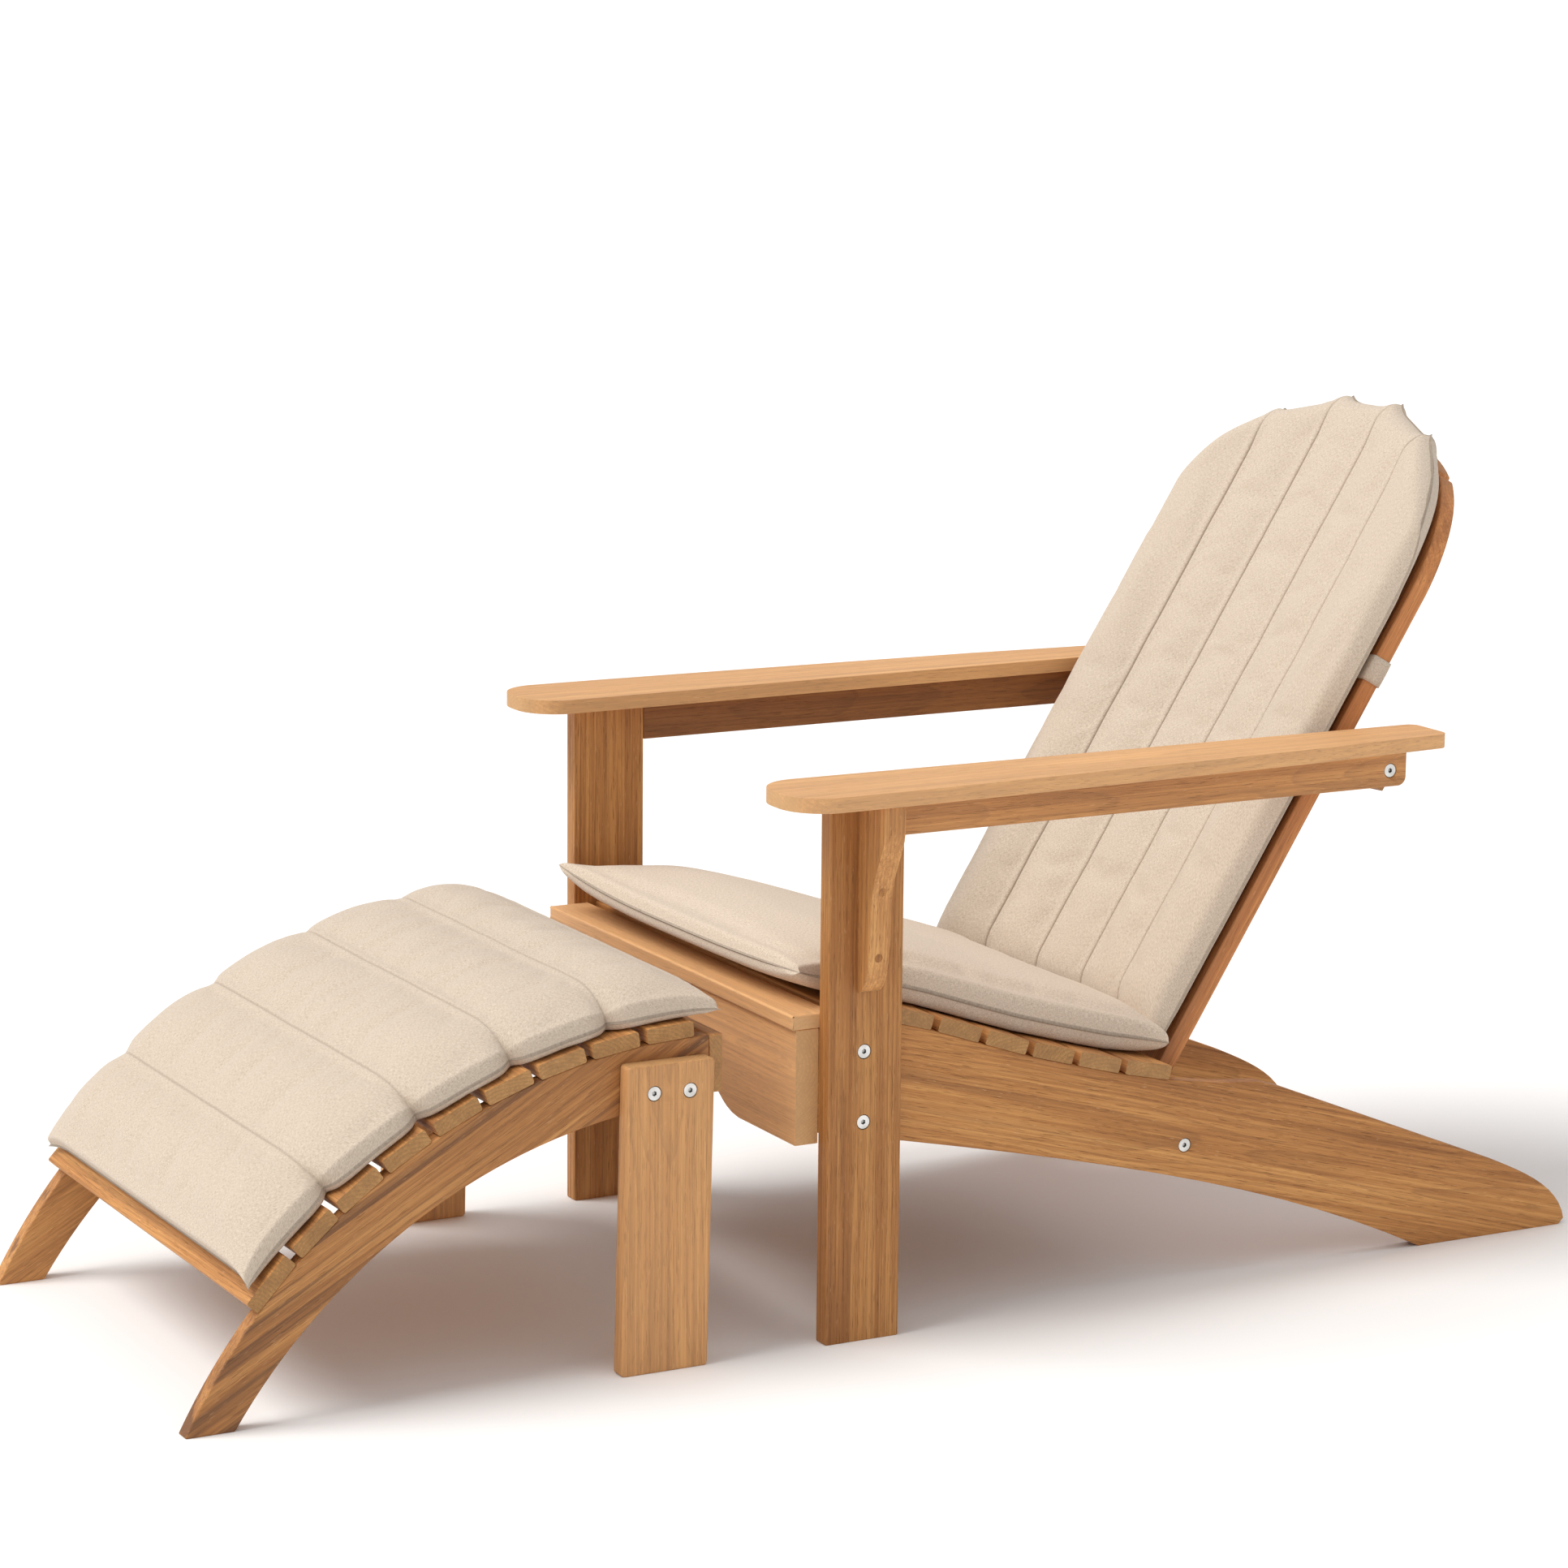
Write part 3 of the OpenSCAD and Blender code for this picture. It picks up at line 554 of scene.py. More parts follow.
class Pad:
    """A stuffed pad in its own flat space: X across, Y along, Z off the surface it lies on.
    low: height of the edge seam; fold: height where the steep edge turns into the crown;
    seams run across it (along="x") or along it (along="y")."""

    def __init__(self, name, width, length, low, fold, thick, reach, tips, points, along="x",
                 seams=(), valley=0.0, channel=0.03, pinch=0.008, ears=0.0, under=0.008,
                 crown=1.7, head=None, nip=0.55, stitched=0.3, top_of=None, top_gap=None):
        self.name = name
        self.width = width
        self.length = length
        self.low = low
        self.fold = fold
        self.thick = thick
        self.reach = reach              # width of the steep edge, width of the crown's shoulder
        self.along = along
        self.seams = list(seams)
        self.valley = valley            # how far a sewn channel sinks below the crown
        self.channel = channel          # how far from its line the channel is felt
        self.pinch = pinch              # how far the edge pulls in at a channel's end
        self.ears = ears                # how far the upper end pokes out at a channel's end
        self.tips = tips                # how far the corners poke out
        self.under = under              # how soon the underside comes down to rest
        self.crown = crown              # how steeply the crown starts at the fold
        self.head = head or reach[1]    # width of the crown's shoulder at the upper end
        self.nip = nip                  # how flat the sewn channels' ends are pressed
        self.points = points            # how flat the corners are pressed
        self.stitched = stitched        # how dark the sewn channels are drawn, out of 1
        self.top_of = top_of or (lambda x: np.full_like(x, length))
        self.top_gap = top_gap or (lambda x, y: length - y)

    def real_y(self, x, y):
        return y * self.top_of(x) / self.length

    def grid(self, step):
        half = self.width / 2
        x_seams = [s + half for s in self.seams] if self.along == "y" else []
        y_seams = self.seams if self.along == "x" else []
        xs = spaced(self.width, [0.0, *x_seams, self.width], step) - half
        ys = spaced(self.length, [0.0, *y_seams, self.length], step)
        return xs, ys

    def edge_distance(self, x, y):
        """Distances in from the sides, from the lower end and from the upper end."""
        real = self.real_y(x, y)
        return self.width / 2 - np.abs(x), real, np.maximum(self.top_gap(x, real), 0.0)

    def rim_distance(self, x, y):
        return np.minimum.reduce(self.edge_distance(x, y))

    def seam_distance(self, x, y):
        if not self.seams:
            return np.full(np.broadcast(x, y).shape, 1.0)
        place = x if self.along == "y" else y
        return np.min([np.abs(place - s) for s in self.seams], axis=0)

    def heights(self, x, y):
        """Heights of the upper and lower faces above the edge seam's level."""
        steep, shoulder = self.reach
        gaps = [np.maximum(d - LIP, 0) for d in self.edge_distance(x, y)]
        side, foot, head = gaps
        fold = np.prod([rise(d, steep, 2.6) for d in gaps], axis=0)
        shoulders = (shoulder, shoulder, self.head)
        crown = np.prod([slope(d, s, self.crown) for d, s in zip(gaps, shoulders)], axis=0)
        top = (self.fold - self.low) * fold + (self.thick - self.fold) * crown
        near = self.seam_distance(x, y)
        inside = np.clip(np.min(gaps, axis=0) / shoulder, 0.25, 1)
        sunk = 0.45 * (1 - rise(near, self.channel, 2.0)) + 0.55 * (1 - rise(near, 0.011, 1.7))
        top = np.maximum(top - self.valley * inside * sunk, 0.12 * top)
        top *= 1 - self.nip * self.notch(x, y)
        pressed = 1 - self.points * np.exp(-(side + np.minimum(foot, head)) / CORNER_REACH)
        top *= pressed
        bottom = -self.low * np.prod([rise(d, self.under, 2.0) for d in gaps], axis=0)
        bottom *= pressed
        return top, bottom

    def notch(self, x, y):
        """1 where a sewn channel meets the edge it runs into, 0 away from there."""
        side, foot, head = self.edge_distance(x, y)
        end = side if self.along == "x" else np.minimum(foot, head)
        beside = np.exp(-(self.seam_distance(x, y) / CHANNEL_REACH) ** 1.4)
        return beside * np.exp(-(end / CHANNEL_END) ** 1.5)

    def pulled(self, x, y):
        """The outline pulls in where a sewn channel meets the edge, and a little near both ends."""
        side, foot, head = self.edge_distance(x, y)
        real = self.real_y(x, y)
        seam = self.seam_distance(x, y)
        bite = np.exp(-(seam / CHANNEL_REACH) ** 1.2)
        bow = BOW * (1 - np.cos(np.pi * (y / self.length - 0.5)))
        end = np.minimum(foot, head)
        tip = self.tips * np.exp(-(side / TIP_REACH) ** 1.2 - (end / TIP_REACH) ** 1.2)
        new_x = x + np.sign(x) * (tip - bow * np.exp(-side / BOW_REACH))
        real = real + np.where(head < foot, tip, -tip)
        if self.along == "x":
            return new_x - np.sign(x) * self.pinch * bite * np.exp(-side / 0.030), real
        real = real + self.pinch * bite * np.exp(-foot / 0.030)
        return new_x, real + self.ears * bite * np.exp(-head / 0.020)

    def puckers(self, x, y, seed):
        """Small gathers that run off the seams and the edge."""
        side, foot, head = self.edge_distance(x, y)
        seam = self.seam_distance(x, y)
        rim = self.rim_distance(x, y)
        run = y if self.along == "y" else x
        beat = run / CHANNEL_BEAT + 1.1 * smooth_noise(x, y, seed, 7)
        near = np.exp(-seam / 0.009) * np.clip(seam / 0.003, 0, 1)
        uneven = np.clip(0.3 + 0.9 * smooth_noise(x, y, seed + 1, 4), 0, 1)
        gather = 0.6 * MM * near * np.sin(2 * np.pi * beat) * uneven
        # folds that fan out from the channels' ends
        clear = np.clip(rim / BARE_RIM, 0, 1)
        ends = np.exp(-rim / CHANNEL_END) * np.exp(-seam / CHANNEL_END) * clear
        fan = seam / FAN_BEAT + 0.4 * smooth_noise(x, y, seed + 5, 6)
        gather += 2.2 * MM * ends * np.sin(2 * np.pi * fan)
        # gathers that run in from the edge seam
        along_rim = np.where(side < np.minimum(foot, head), y, x)
        rim_beat = along_rim / RIM_BEAT + 1.2 * smooth_noise(x, y, seed + 2, 5)
        near_rim = np.exp(-rim / 0.016) * clear
        patchy = np.clip(0.4 + smooth_noise(x, y, seed + 6, 3), 0, 1)
        gather += 0.7 * MM * near_rim * np.sin(2 * np.pi * rim_beat) * patchy
        return gather + 0.8 * MM * smooth_noise(x, y, seed + 3, 4.0) * np.clip(rim / 0.04, 0, 1)


# ---- cloth simulation
SIM_STEP = 9.0 * MM
SIM_FRAMES = 20
SIM_SETTINGS = {"quality": 6, "mass": 0.25, "tension_stiffness": 22, "compression_stiffness": 12,
                "shear_stiffness": 6, "bending_stiffness": 0.15, "use_pressure": True,
                "uniform_pressure_force": 4.0, "shrink_min": -0.022, "vertex_group_mass": "sewn"}


def pad_net(nx, ny):
    """Point numbers of the upper and lower faces, which share their rim, with the quads on both."""
    index = np.arange(nx * ny).reshape(nx, ny)
    rim = np.zeros((nx, ny), bool)
    rim[[0, -1], :] = True
    rim[:, [0, -1]] = True
    low_index = np.where(rim, index, index + nx * ny)
    faces = []
    for i in range(nx - 1):
        for j in range(ny - 1):
            faces.append((index[i, j], index[i + 1, j], index[i + 1, j + 1], index[i, j + 1]))
            faces.append((low_index[i, j], low_index[i, j + 1],
                          low_index[i + 1, j + 1], low_index[i + 1, j]))
    return index, low_index, rim, np.array(faces)


def simulated(name, points, faces, held):
    """Places of the points once pressure has filled the cloth, with the held points fixed."""
    mesh = bpy.data.meshes.new(name)
    mesh.from_pydata(points.tolist(), [], faces.tolist())
    obj = bpy.data.objects.new(name, mesh)
    scene.collection.objects.link(obj)
    pins = obj.vertex_groups.new(name="sewn")
    pins.add(held.tolist(), 1.0, "REPLACE")
    cloth = obj.modifiers.new("cloth", "CLOTH")
    for setting, value in SIM_SETTINGS.items():
        setattr(cloth.settings, setting, value)
    cloth.settings.effector_weights.gravity = 0.0
    cloth.collision_settings.use_collision = False
    cloth.collision_settings.use_self_collision = False
    cloth.point_cache.frame_start = 1
    cloth.point_cache.frame_end = SIM_FRAMES
    for moment in range(1, SIM_FRAMES + 1):
        scene.frame_set(moment)
    shape = obj.evaluated_get(bpy.context.evaluated_depsgraph_get()).to_mesh()
    moved = np.array([v.co for v in shape.vertices], float)
    obj.to_mesh_clear()
    scene.frame_set(1)
    bpy.data.objects.remove(obj)
    return moved


def sampler(pad, field):
    """A function that gives the grid's movements at any place on the pad."""
    nx, ny = field.shape[:2]

    def sample(x, y):
        fx = np.clip((x + pad.width / 2) / pad.width * (nx - 1), 0, nx - 1.001)
        fy = np.clip(y / pad.length * (ny - 1), 0, ny - 1.001)
        i, j = fx.astype(int), fy.astype(int)
        a, b = (fx - i)[..., None], (fy - j)[..., None]
        return (field[i, j] * (1 - a) * (1 - b) + field[i + 1, j] * a * (1 - b)
                + field[i, j + 1] * (1 - a) * b + field[i + 1, j + 1] * a * b)

    return sample


def swell(pad):
    """Blows the pad up on an even grid, between its sewn lines.
    Returns functions that give the movement of the upper and lower faces at any place."""
    nx = int(round(pad.width / SIM_STEP)) + 1
    ny = int(round(pad.length / SIM_STEP)) + 1
    xs = np.linspace(-pad.width / 2, pad.width / 2, nx)
    ys = np.linspace(0, pad.length, ny)
    gx, gy = np.meshgrid(xs, ys, indexing="ij")
    top, bottom = pad.heights(gx, gy)
    real_y = pad.real_y(gx, gy)
    upper = np.stack([gx, real_y, top * SLACK], -1).reshape(-1, 3)
    lower = np.stack([gx, real_y, bottom], -1).reshape(-1, 3)
    points = np.concatenate([upper, lower])
    index, low_index, rim, faces = pad_net(nx, ny)
    sewn = pad.seam_distance(gx, gy) < SIM_STEP * 0.55
    held = np.unique(np.concatenate([index[rim | sewn], low_index[sewn & ~rim]]))
    shift = simulated(pad.name + "_sim", points, faces, held) - points
    size = np.linalg.norm(shift, axis=1, keepdims=True)
    shift *= np.minimum(1.0, SWELL_LIMIT / np.maximum(size, 1e-9))
    return sampler(pad, shift[index]), sampler(pad, shift[low_index])


# ---- pad meshes
GRID_STEP = 7 * MM
CHANNEL_LINE = 1.1 * MM     # half the width of the dark line along a sewn channel
BACK_CLEARANCE = 3.0 * MM   # between the back slats and the pad in front of them
STOOL_CLEARANCE = 1.5 * MM  # between the footstool's slats and the pad on them


def cloth_lengths(points, offset):
    """Distances along the cloth itself at each grid point, so that the weave doesn't stretch."""
    def runs(axis):
        steps = np.linalg.norm(np.diff(points, axis=axis), axis=2)
        shape = list(steps.shape)
        shape[axis] = 1
        return np.concatenate([np.zeros(shape), np.cumsum(steps, axis=axis)], axis=axis)

    u, v = runs(0), runs(1)
    u -= u[len(u) // 2][None, :]
    v -= v[:, v.shape[1] // 2][:, None]
    return np.stack([u + offset, v + 0.4 * offset, 0 * u], -1).reshape(-1, 3)


def pad_points(pad, gx, gy, rim, seed):
    """Points of the upper and lower faces, filled by the simulation, with gathers at the seams."""
    top, bottom = pad.heights(gx, gy)
    sample_up, sample_down = swell(pad)
    up, down = sample_up(gx, gy), sample_down(gx, gy)
    px, py = pad.pulled(gx, gy)
    creases = pad.puckers(gx, gy, seed)
    soft = np.clip(top / (pad.thick - pad.low), 0, 1)
    inside = slope(pad.rim_distance(gx, gy), FILL_REACH, 2.0) * 1.0
    inside *= np.clip(pad.seam_distance(gx, gy) / CHANNEL_REACH, 0, 1)
    full = top * (1 - (1 - SLACK) * inside) + np.clip(up[..., 2], 0, SWELL_LIMIT) * inside
    upper = np.stack([px + up[..., 0] * inside, py + up[..., 1] * inside,
                      full + creases * (0.3 + 0.7 * soft)], -1)
    under = np.clip(down[..., 2], 0, 0.25 * SWELL_LIMIT) * inside
    lower = np.stack([px, py, np.maximum(bottom + under + 0.3 * creases, -pad.low)], -1)
    upper[rim] = np.stack([px, py, np.zeros_like(px)], -1)[rim]
    return np.concatenate([upper.reshape(-1, 3), lower.reshape(-1, 3)])


def store(mesh, name, values):
    """Keeps a number or a vector at each point for the material to read."""
    kind, field = ("FLOAT_VECTOR", "vector") if values.ndim == 2 else ("FLOAT", "value")
    layer = mesh.attributes.new(name, kind, "POINT")
    layer.data.foreach_set(field, values.astype(np.float32).ravel())


def cloth_mesh(name, points, faces, values):
    """A smooth-shaded mesh of the points that the faces use, with its attributes."""
    used = np.unique(faces)
    renumber = np.full(len(points), -1)
    renumber[used] = np.arange(len(used))
    mesh = bpy.data.meshes.new(name)
    mesh.from_pydata(points[used].tolist(), [], renumber[faces].tolist())
    for attribute, numbers in values.items():
        store(mesh, attribute, numbers[used])
    mesh.polygons.foreach_set("use_smooth", [True] * len(mesh.polygons))
    return mesh


def build_pad(pad, place, material, body, node, seed):
    """Makes the pad's mesh and lays it with place(x, y, z), which gives frame coordinates."""
    xs, ys = pad.grid(GRID_STEP)
    nx, ny = len(xs), len(ys)
    gx, gy = np.meshgrid(xs, ys, indexing="ij")
    rim, faces = pad_net(nx, ny)[2:]
    points = pad_points(pad, gx, gy, rim, seed)
    world = place(points[:, 0], points[:, 1], points[:, 2] + pad.low)
    halves = world.reshape(2, nx, ny, 3)
    seam = np.exp(-(pad.rim_distance(gx, gy) / (1.3 * LIP)) ** 8)
    channel = pad.stitched * np.exp(-(pad.seam_distance(gx, gy) / CHANNEL_LINE) ** 2)
    values = {"flat": np.concatenate([cloth_lengths(halves[0], 1.0), cloth_lengths(halves[1], 3.0)]),
              "seam": np.tile(seam.ravel(), 2),
              "channel": np.tile(channel.ravel(), 2)}
    obj = bpy.data.objects.new(pad.name, cloth_mesh(pad.name, world, faces, values))
    scene.collection.objects.link(obj)
    obj.data.materials.append(material)
    subdivide = obj.modifiers.new("smooth", "SUBSURF")
    subdivide.levels = subdivide.render_levels = 1
    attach(obj, body)
    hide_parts(node)


PATH_STEPS = 400
PATH_BLUR = 20              # steps to each side that the path's corners are rounded over


def path_place(points):
    """Lays a flat pad along a smooth path in the YZ plane; z runs off the path's left side."""
    points = np.array(points, float)
    steps = np.concatenate([[0], np.cumsum(np.linalg.norm(np.diff(points, axis=0), axis=1))])
    dense = np.linspace(0, steps[-1], PATH_STEPS)
    ys = np.interp(dense, steps, points[:, 0])
    zs = np.interp(dense, steps, points[:, 1])
    kernel = np.hanning(2 * PATH_BLUR + 1)
    kernel /= kernel.sum()

    def smoothed(values):
        before = 2 * values[0] - values[PATH_BLUR:0:-1]
        after = 2 * values[-1] - values[-2:-PATH_BLUR - 2:-1]
        return np.convolve(np.concatenate([before, values, after]), kernel, "valid")

    ys, zs = smoothed(ys), smoothed(zs)
    dy, dz = np.gradient(ys, dense), np.gradient(zs, dense)

    def place(x, y, z, lift):
        py, pz = np.interp(y, dense, ys), np.interp(y, dense, zs)
        ty, tz = np.interp(y, dense, dy), np.interp(y, dense, dz)
        size = np.hypot(ty, tz)
        return np.stack([x, py - z * tz / size, pz + z * ty / size + lift], -1)

    return place, steps[-1]


def seat_cushion(material):
    f = FRONT_Y
    # from over the nosing, down along the slats to the back
    path = [(f - 0.030, 0.3815), (f - 0.012, 0.3745), (f + 0.012, 0.3675), (f + 0.040, 0.3615),
            (f + 0.084, 0.3550), (f + 0.139, 0.3390), (f + 0.1975, 0.3183), (f + 0.256, 0.2983),
            (f + 0.3145, 0.2813), (f + 0.3745, 0.2648), (f + 0.448, 0.2490)]
    lay, length = path_place(path)
    half = 0.262
    thinning = 0.36
    far_lift, near_lift = 0.013, 0.003
    near_back, slant, spread = 0.009, 0.003, 0.022
    pad = Pad("seat_cushion_cover", 2 * half, length, low=0.018, fold=0.041, thick=0.057,
              reach=(0.006, 0.13), tips=0.012, points=0.8)

    def place(x, y, z):
        """Thinner at the front, where the far corner turns up and the near one goes a little back."""
        front = np.exp(-y / 0.06)
        z = z * (1 - thinning * front)
        corner = np.abs(x / half) ** 3 * front
        lift = corner * np.where(x < 0, far_lift, near_lift)
        point = lay(x * (1 + spread * corner), y, z, lift)
        point[:, 1] += front * (near_back * np.maximum(x / half, 0) ** 3 + slant * x / half)
        return point

    build_pad(pad, place, material, "chair", "seat_cushion", seed=3)


def back_place(x, y, z):
    """Follows the hollow curve of the slats, resting just in front of them."""
    r = BEND - BACK_CLEARANCE - z
    turn = x / BEND
    out = BEND - SAG - r * np.cos(turn)
    point = BACK_ORIGIN[None, :] + np.outer(y, BACK_UP) + np.outer(out, BACK_OUT)
    point[:, 0] += r * np.sin(turn)
    return point


class Arch:
    """Three-centred arch over the back: a wide middle arc between two shoulder arcs.
    over: how far outside the slats' own arch it runs."""

    def __init__(self, over):
        out = BACK_WIDTH / 2 + ARCH_MARGIN
        self.mid = ARCH_TOP - ARCH_R
        short = ARCH_R - out
        self.shoulder = ((SHOULDER_UP - self.mid) ** 2 - short ** 2) / (2 * short)
        self.turn = math.atan2(SHOULDER_UP - self.mid, self.shoulder)
        self.r_side = out - self.shoulder + over
        self.r_mid = ARCH_R + over

    def height(self, x):
        a = np.abs(x)
        centre = self.mid + np.sqrt(np.maximum(self.r_mid ** 2 - a ** 2, 0))
        side = np.clip(a - self.shoulder, 0, self.r_side)
        outer = SHOULDER_UP + np.sqrt(self.r_side ** 2 - side ** 2)
        return np.where(a < self.r_mid * math.cos(self.turn), centre, outer)

    def gap(self, x, y):
        """Distance from a point inside the arch to its outline."""
        a = np.abs(x)
        in_middle = np.arctan2(y - self.mid, a) > self.turn
        middle = self.r_mid - np.hypot(a, y - self.mid)
        outer = self.r_side - np.hypot(a - self.shoulder, y - SHOULDER_UP)
        return np.where(in_middle, middle, np.where(y > SHOULDER_UP, outer, 1.0))


def back_cushion(material):
    start = 0.019           # from the back's origin up to the pad's lower end
    arch = Arch(over=0.021)
    width = 0.520
    low, thick = 0.006, 0.053
    climb, climb_reach = 0.019, 0.030
    chord_lean = 0.93       # the top slants, so it is this much nearer than it is straight up
    seams = [SLAT_STEP * (k - 1.5) for k in range(4)]
    inner, outer = seams[2], seams[3]
    bulge = 0.001
    heights = [float(arch.height(np.array(v))) for v in (inner, inner, outer)]

    def top_of(x):
        """Nearly straight from seam to seam, and curved over the outer panels."""
        a = np.abs(x)
        panel = np.where(a < inner, a / inner, (a - inner) / (outer - inner))
        panel = np.where(a < inner, 1 - panel ** 2, 4 * panel * (1 - panel))
        chords = np.interp(a, (0, inner, outer), heights) + bulge * panel
        return np.where(a < outer, chords, arch.height(x)) - start

    def top_gap(x, y):
        fall = top_of(x) - y
        return np.where(np.abs(x) < outer, fall * chord_lean, np.minimum(arch.gap(x, y + start), fall))

    length = float(top_of(np.array([0.0]))[0])
    pad = Pad("back_cushion_cover", width, length, low=low, fold=0.030, thick=thick,
              reach=(0.008, 0.050), along="y", seams=seams, valley=0.012, channel=0.045,
              pinch=0.006, ears=0.009, tips=0.0, under=0.050, head=0.020, nip=0.2, points=0.3,
              stitched=0.45, top_of=top_of, top_gap=top_gap)

    def place(x, y, z):
        """Along the arch the edge seam climbs to the middle of the pad's thickness."""
        lift = climb * np.exp(-np.maximum(top_of(x) - y, 0) / climb_reach)
        lift *= np.where(z < low, z / low, np.clip(1 - (z - low) / (thick - low), 0, 1))
        return back_place(x, y + start, z + lift)

    build_pad(pad, place, material, "chair", "back_cushion", seed=11)


def stool_cushion(material):
    rest = STOOL_RADIUS + STOOL_SLAT_DEPTH + STOOL_CLEARANCE
    first, last = math.radians(88.8), math.radians(138.1)
    sewn = [math.radians(a) for a in (98.6, 108.2, 117.9, 128.0)]
    length = (last - first) * (rest + 0.01)
    seams = [length * (a - first) / (last - first) for a in sewn]
    pad = Pad("stool_cushion_cover", 0.580, length, low=0.008, fold=0.027, thick=0.048,
              reach=(0.0035, 0.075), seams=seams, valley=0.006, channel=0.030, pinch=0.018,
              tips=0.008, crown=1.5, points=0.55)

    def place(x, y, z):
        angle = first + y / length * (last - first)
        r = rest + z
        across, up = r * np.cos(angle), r * np.sin(angle)
        return np.stack([x, STOOL_CENTRE[0] + across, STOOL_CENTRE[1] + up], -1)

    build_pad(pad, place, material, "footstool", "stool_cushion", seed=23)


STRAP_UP = 0.495            # height of the straps' middle along the back
STRAP_WIDE = 30 * MM
STRAP_THICK = 1.5 * MM
STRAP_GAP = 1.1 * MM
STRAP_ROWS = 6


def strap_loop():
    """Once round a slat: across it, and out from its front face."""
    half, gap, depth = SLAT_WIDTH / 2, STRAP_GAP, SLAT_DEPTH
    return [(-half - gap, 0), (-half, gap), (0, 1.6 * gap), (half, gap), (half + gap, 0),
            (half + gap, -depth), (half, -depth - gap), (-half, -depth - gap), (-half - gap, -depth)]


def strap_point(side, across, out, t):
    """A point of the strap on one side, t of its width up from its middle."""
    sag = 0.4 * MM * math.cos(math.pi * t)
    angle = side * 2 * SLAT_TURN
    x, z = side * across, out + sag * (1 if out > -SLAT_DEPTH / 2 else -1)
    r = BEND - z
    sideways = r * math.sin(angle) + x * math.cos(angle)
    forward = BEND - SAG - r * math.cos(angle) + x * math.sin(angle)
    return (BACK_ORIGIN + BACK_UP * (STRAP_UP + t * STRAP_WIDE) + BACK_OUT * forward
            + np.array([sideways, 0, 0]))


def back_straps(material):
    """A flat cloth loop round each outer back slat, holding the back cushion."""
    loop = strap_loop()
    points, flats, faces = [], [], []
    for side in (-1, 1):
        base = len(points)
        run = 0.0
        for k, (across, out) in enumerate(loop):
            run += math.dist(loop[k - 1], loop[k])
            for row in range(STRAP_ROWS + 1):
                t = row / STRAP_ROWS - 0.5
                points.append(strap_point(side, across, out, t))
                flats.append((run, t * STRAP_WIDE + 3.0, 0))
        for k in range(len(loop)):
            here = base + k * (STRAP_ROWS + 1)
            after = base + (k + 1) % len(loop) * (STRAP_ROWS + 1)
            for row in range(STRAP_ROWS):
                faces.append((here + row, after + row, after + row + 1, here + row + 1))
    mesh = cloth_mesh("back_strap_loops", np.array(points), np.array(faces), {"flat": np.array(flats)})
    mesh.materials.append(material)
    obj = bpy.data.objects.new("back_strap_loops", mesh)
    scene.collection.objects.link(obj)
    solid = obj.modifiers.new("thick", "SOLIDIFY")
    solid.thickness = STRAP_THICK
    solid.offset = 0.0
    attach(obj, "chair")
    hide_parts("back_cushion_straps")


# ---- studio
WHITE = (1.0, 1.0, 1.0, 1.0)
SKY_STRENGTH = 0.64
FLOOR_COLOUR = (0.96, 0.96, 0.96, 1.0)
FLOOR_HALF = 900.0
SUN_STRENGTH = 2.3
SUN_SPREAD = math.radians(38)
SUN_COLOUR = (1.0, 0.985, 0.96)
SUN_HEIGHT = math.radians(56)
SUN_SWING = math.radians(-14)

CAMERA_AZIMUTH = math.radians(61.77)
CAMERA_ELEVATION = math.radians(10.97)
CAMERA_ROLL = math.radians(0.53)
CAMERA_DISTANCE = 5.084
CAMERA_TARGET = Vector((0, 0, 0.4))
CAMERA_ACROSS = -0.0214
CAMERA_RISE = 0.1321
CAMERA_LENS = 105.44
CAMERA_SENSOR = 36.0


def direction(azimuth, elevation):
    """The way towards a place at this azimuth from the front and this elevation."""
    return Vector((math.sin(azimuth) * math.cos(elevation), -math.cos(azimuth) * math.cos(elevation),
                   math.sin(elevation)))


def sky():
    world = bpy.data.worlds.new("studio")
    scene.world = world
    world.use_nodes = True
    background = world.node_tree.nodes["Background"]
    background.inputs[0].default_value = WHITE
    background.inputs[1].default_value = SKY_STRENGTH


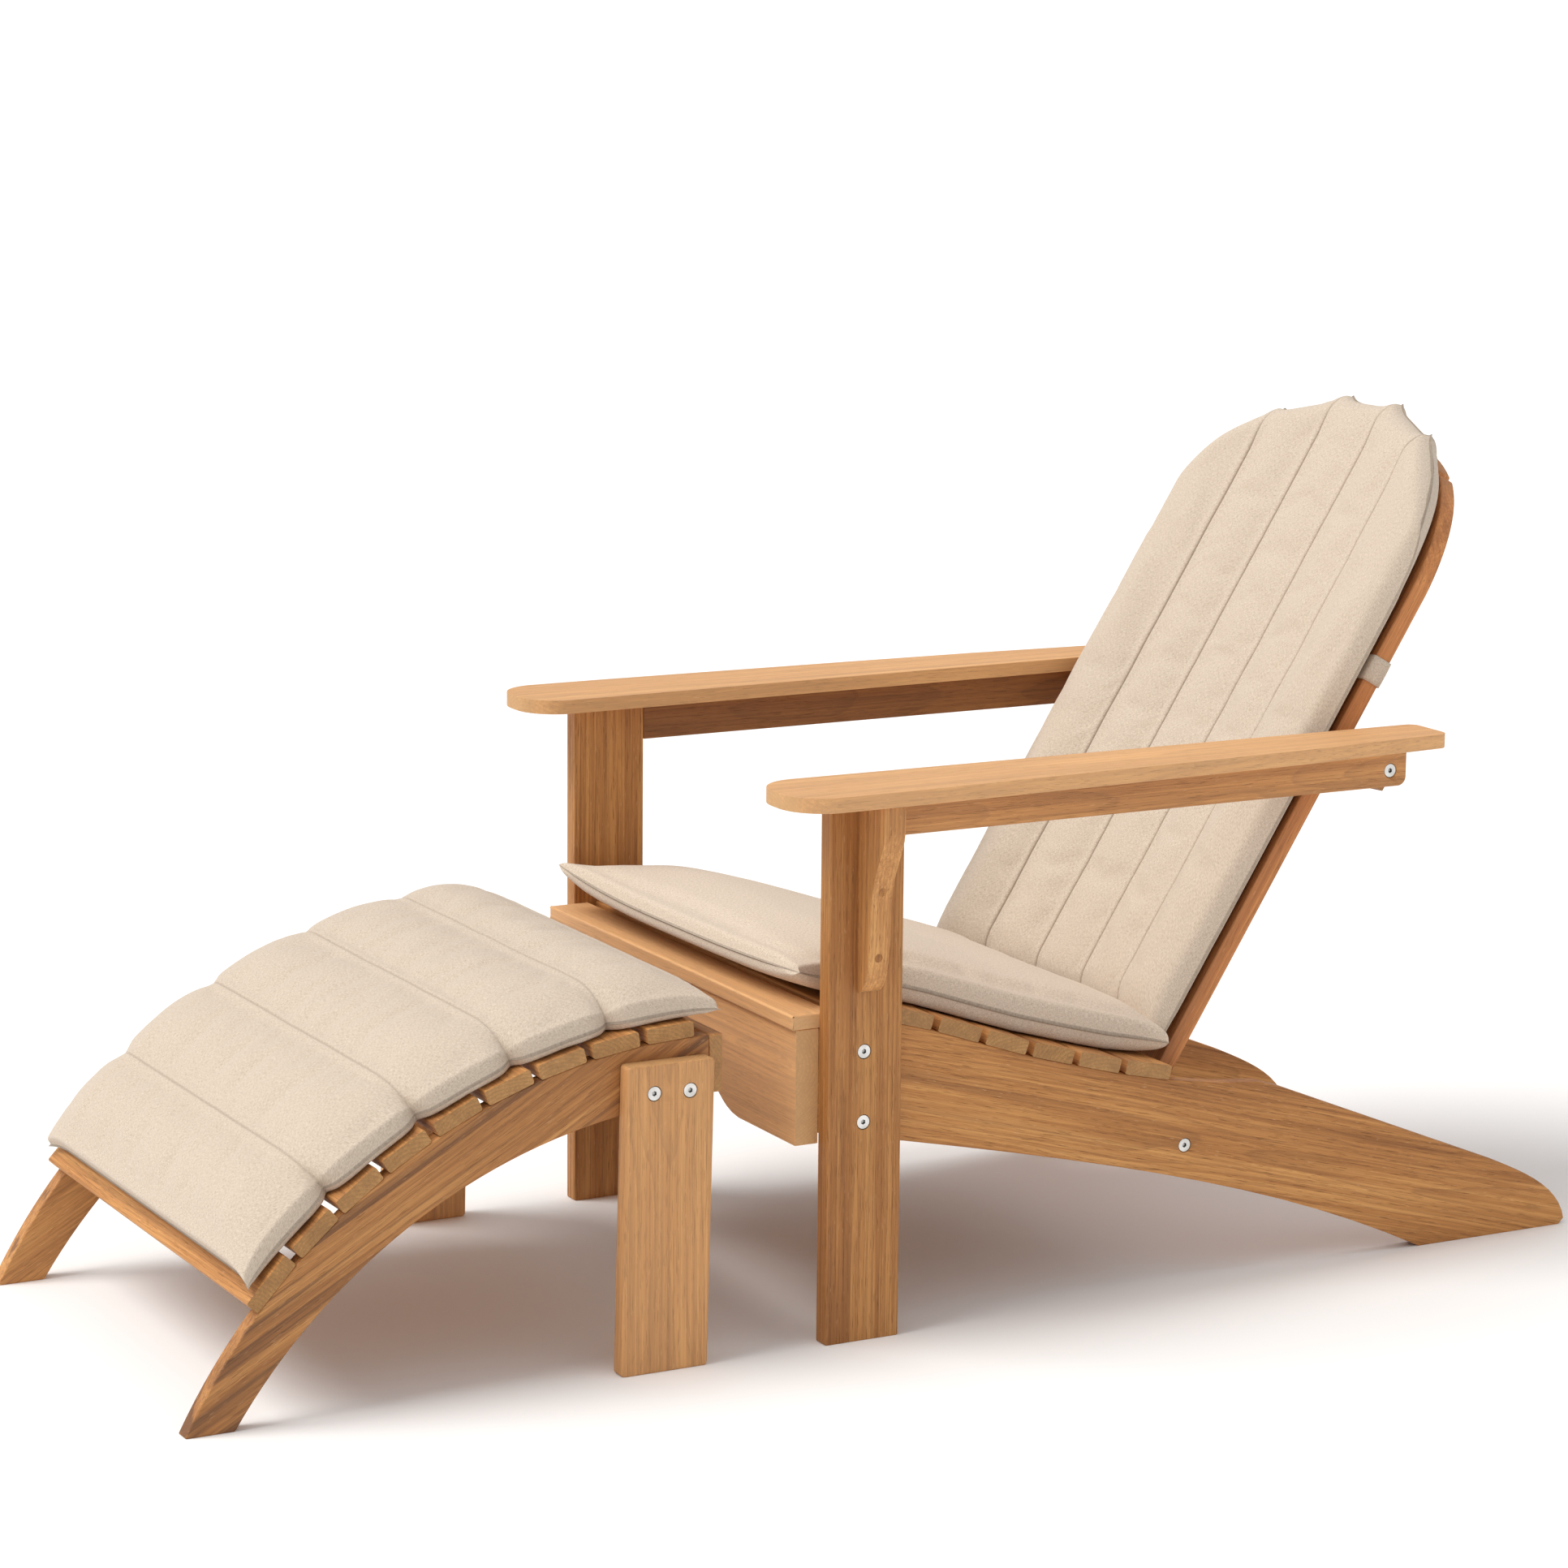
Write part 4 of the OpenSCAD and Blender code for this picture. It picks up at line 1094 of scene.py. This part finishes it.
def floor():
    mesh = bpy.data.meshes.new("floor")
    far = FLOOR_HALF
    points = [(-far, -far, 0), (far, -far, 0), (far, far, 0), (-far, far, 0)]
    mesh.from_pydata(points, [], [(0, 1, 2, 3)])
    obj = bpy.data.objects.new("floor", mesh)
    scene.collection.objects.link(obj)
    material, g = new_material("floor")
    shader = g.add("ShaderNodeBsdfPrincipled", {"Base Color": FLOOR_COLOUR, "Roughness": 0.9})
    output = g.add("ShaderNodeOutputMaterial")
    g.put(output.inputs["Surface"], shader.outputs[0])
    mesh.materials.append(material)


def sun():
    data = bpy.data.lights.new("sun", "SUN")
    data.energy = SUN_STRENGTH
    data.angle = SUN_SPREAD
    data.color = SUN_COLOUR
    lamp = bpy.data.objects.new("sun", data)
    scene.collection.objects.link(lamp)
    towards = direction(SUN_SWING, SUN_HEIGHT)
    lamp.rotation_euler = towards.to_track_quat("Z", "Y").to_euler()


def plain_colours():
    scene.view_settings.view_transform = "Standard"
    scene.view_settings.look = "None"
    scene.view_settings.exposure = 0.0


def camera():
    """The photo's camera."""
    back = direction(CAMERA_AZIMUTH, CAMERA_ELEVATION)
    right = Vector((math.cos(CAMERA_AZIMUTH), math.sin(CAMERA_AZIMUTH), 0))
    up = back.cross(right)
    place = CAMERA_TARGET + right * CAMERA_ACROSS + up * CAMERA_RISE + back * CAMERA_DISTANCE
    r = right * math.cos(CAMERA_ROLL) + up * math.sin(CAMERA_ROLL)
    u = up * math.cos(CAMERA_ROLL) - right * math.sin(CAMERA_ROLL)
    data = bpy.data.cameras.new("camera")
    data.sensor_width = CAMERA_SENSOR
    data.lens = CAMERA_LENS
    data.clip_end = 500
    obj = bpy.data.objects.new("camera", data)
    scene.collection.objects.link(obj)
    obj.matrix_world = Matrix(((r.x, u.x, back.x, place.x), (r.y, u.y, back.y, place.y),
                               (r.z, u.z, back.z, place.z), (0, 0, 0, 1)))
    scene.camera = obj


# ---- build
fit_boards()
steel = steel_material()
for fastener in ("frame_bolts", "leg_bolt_nuts", "rail_barrel_nuts", "bracket_screws",
                 "back_slat_screws", "stool_bolts", "stool_bolt_nuts"):
    paint(NODES[fastener], steel)
cloth = cloth_material("oatmeal_weave", 0.96)
back_straps(cloth)
# the seat's copy of the same cloth is made lighter: painted light on the seat's top and sides
seat_cushion(cloth_material("oatmeal_weave_seat_painted_lighter", 1.08))
back_cushion(cloth)
stool_cushion(cloth)
sky()
floor()
sun()
plain_colours()
camera()
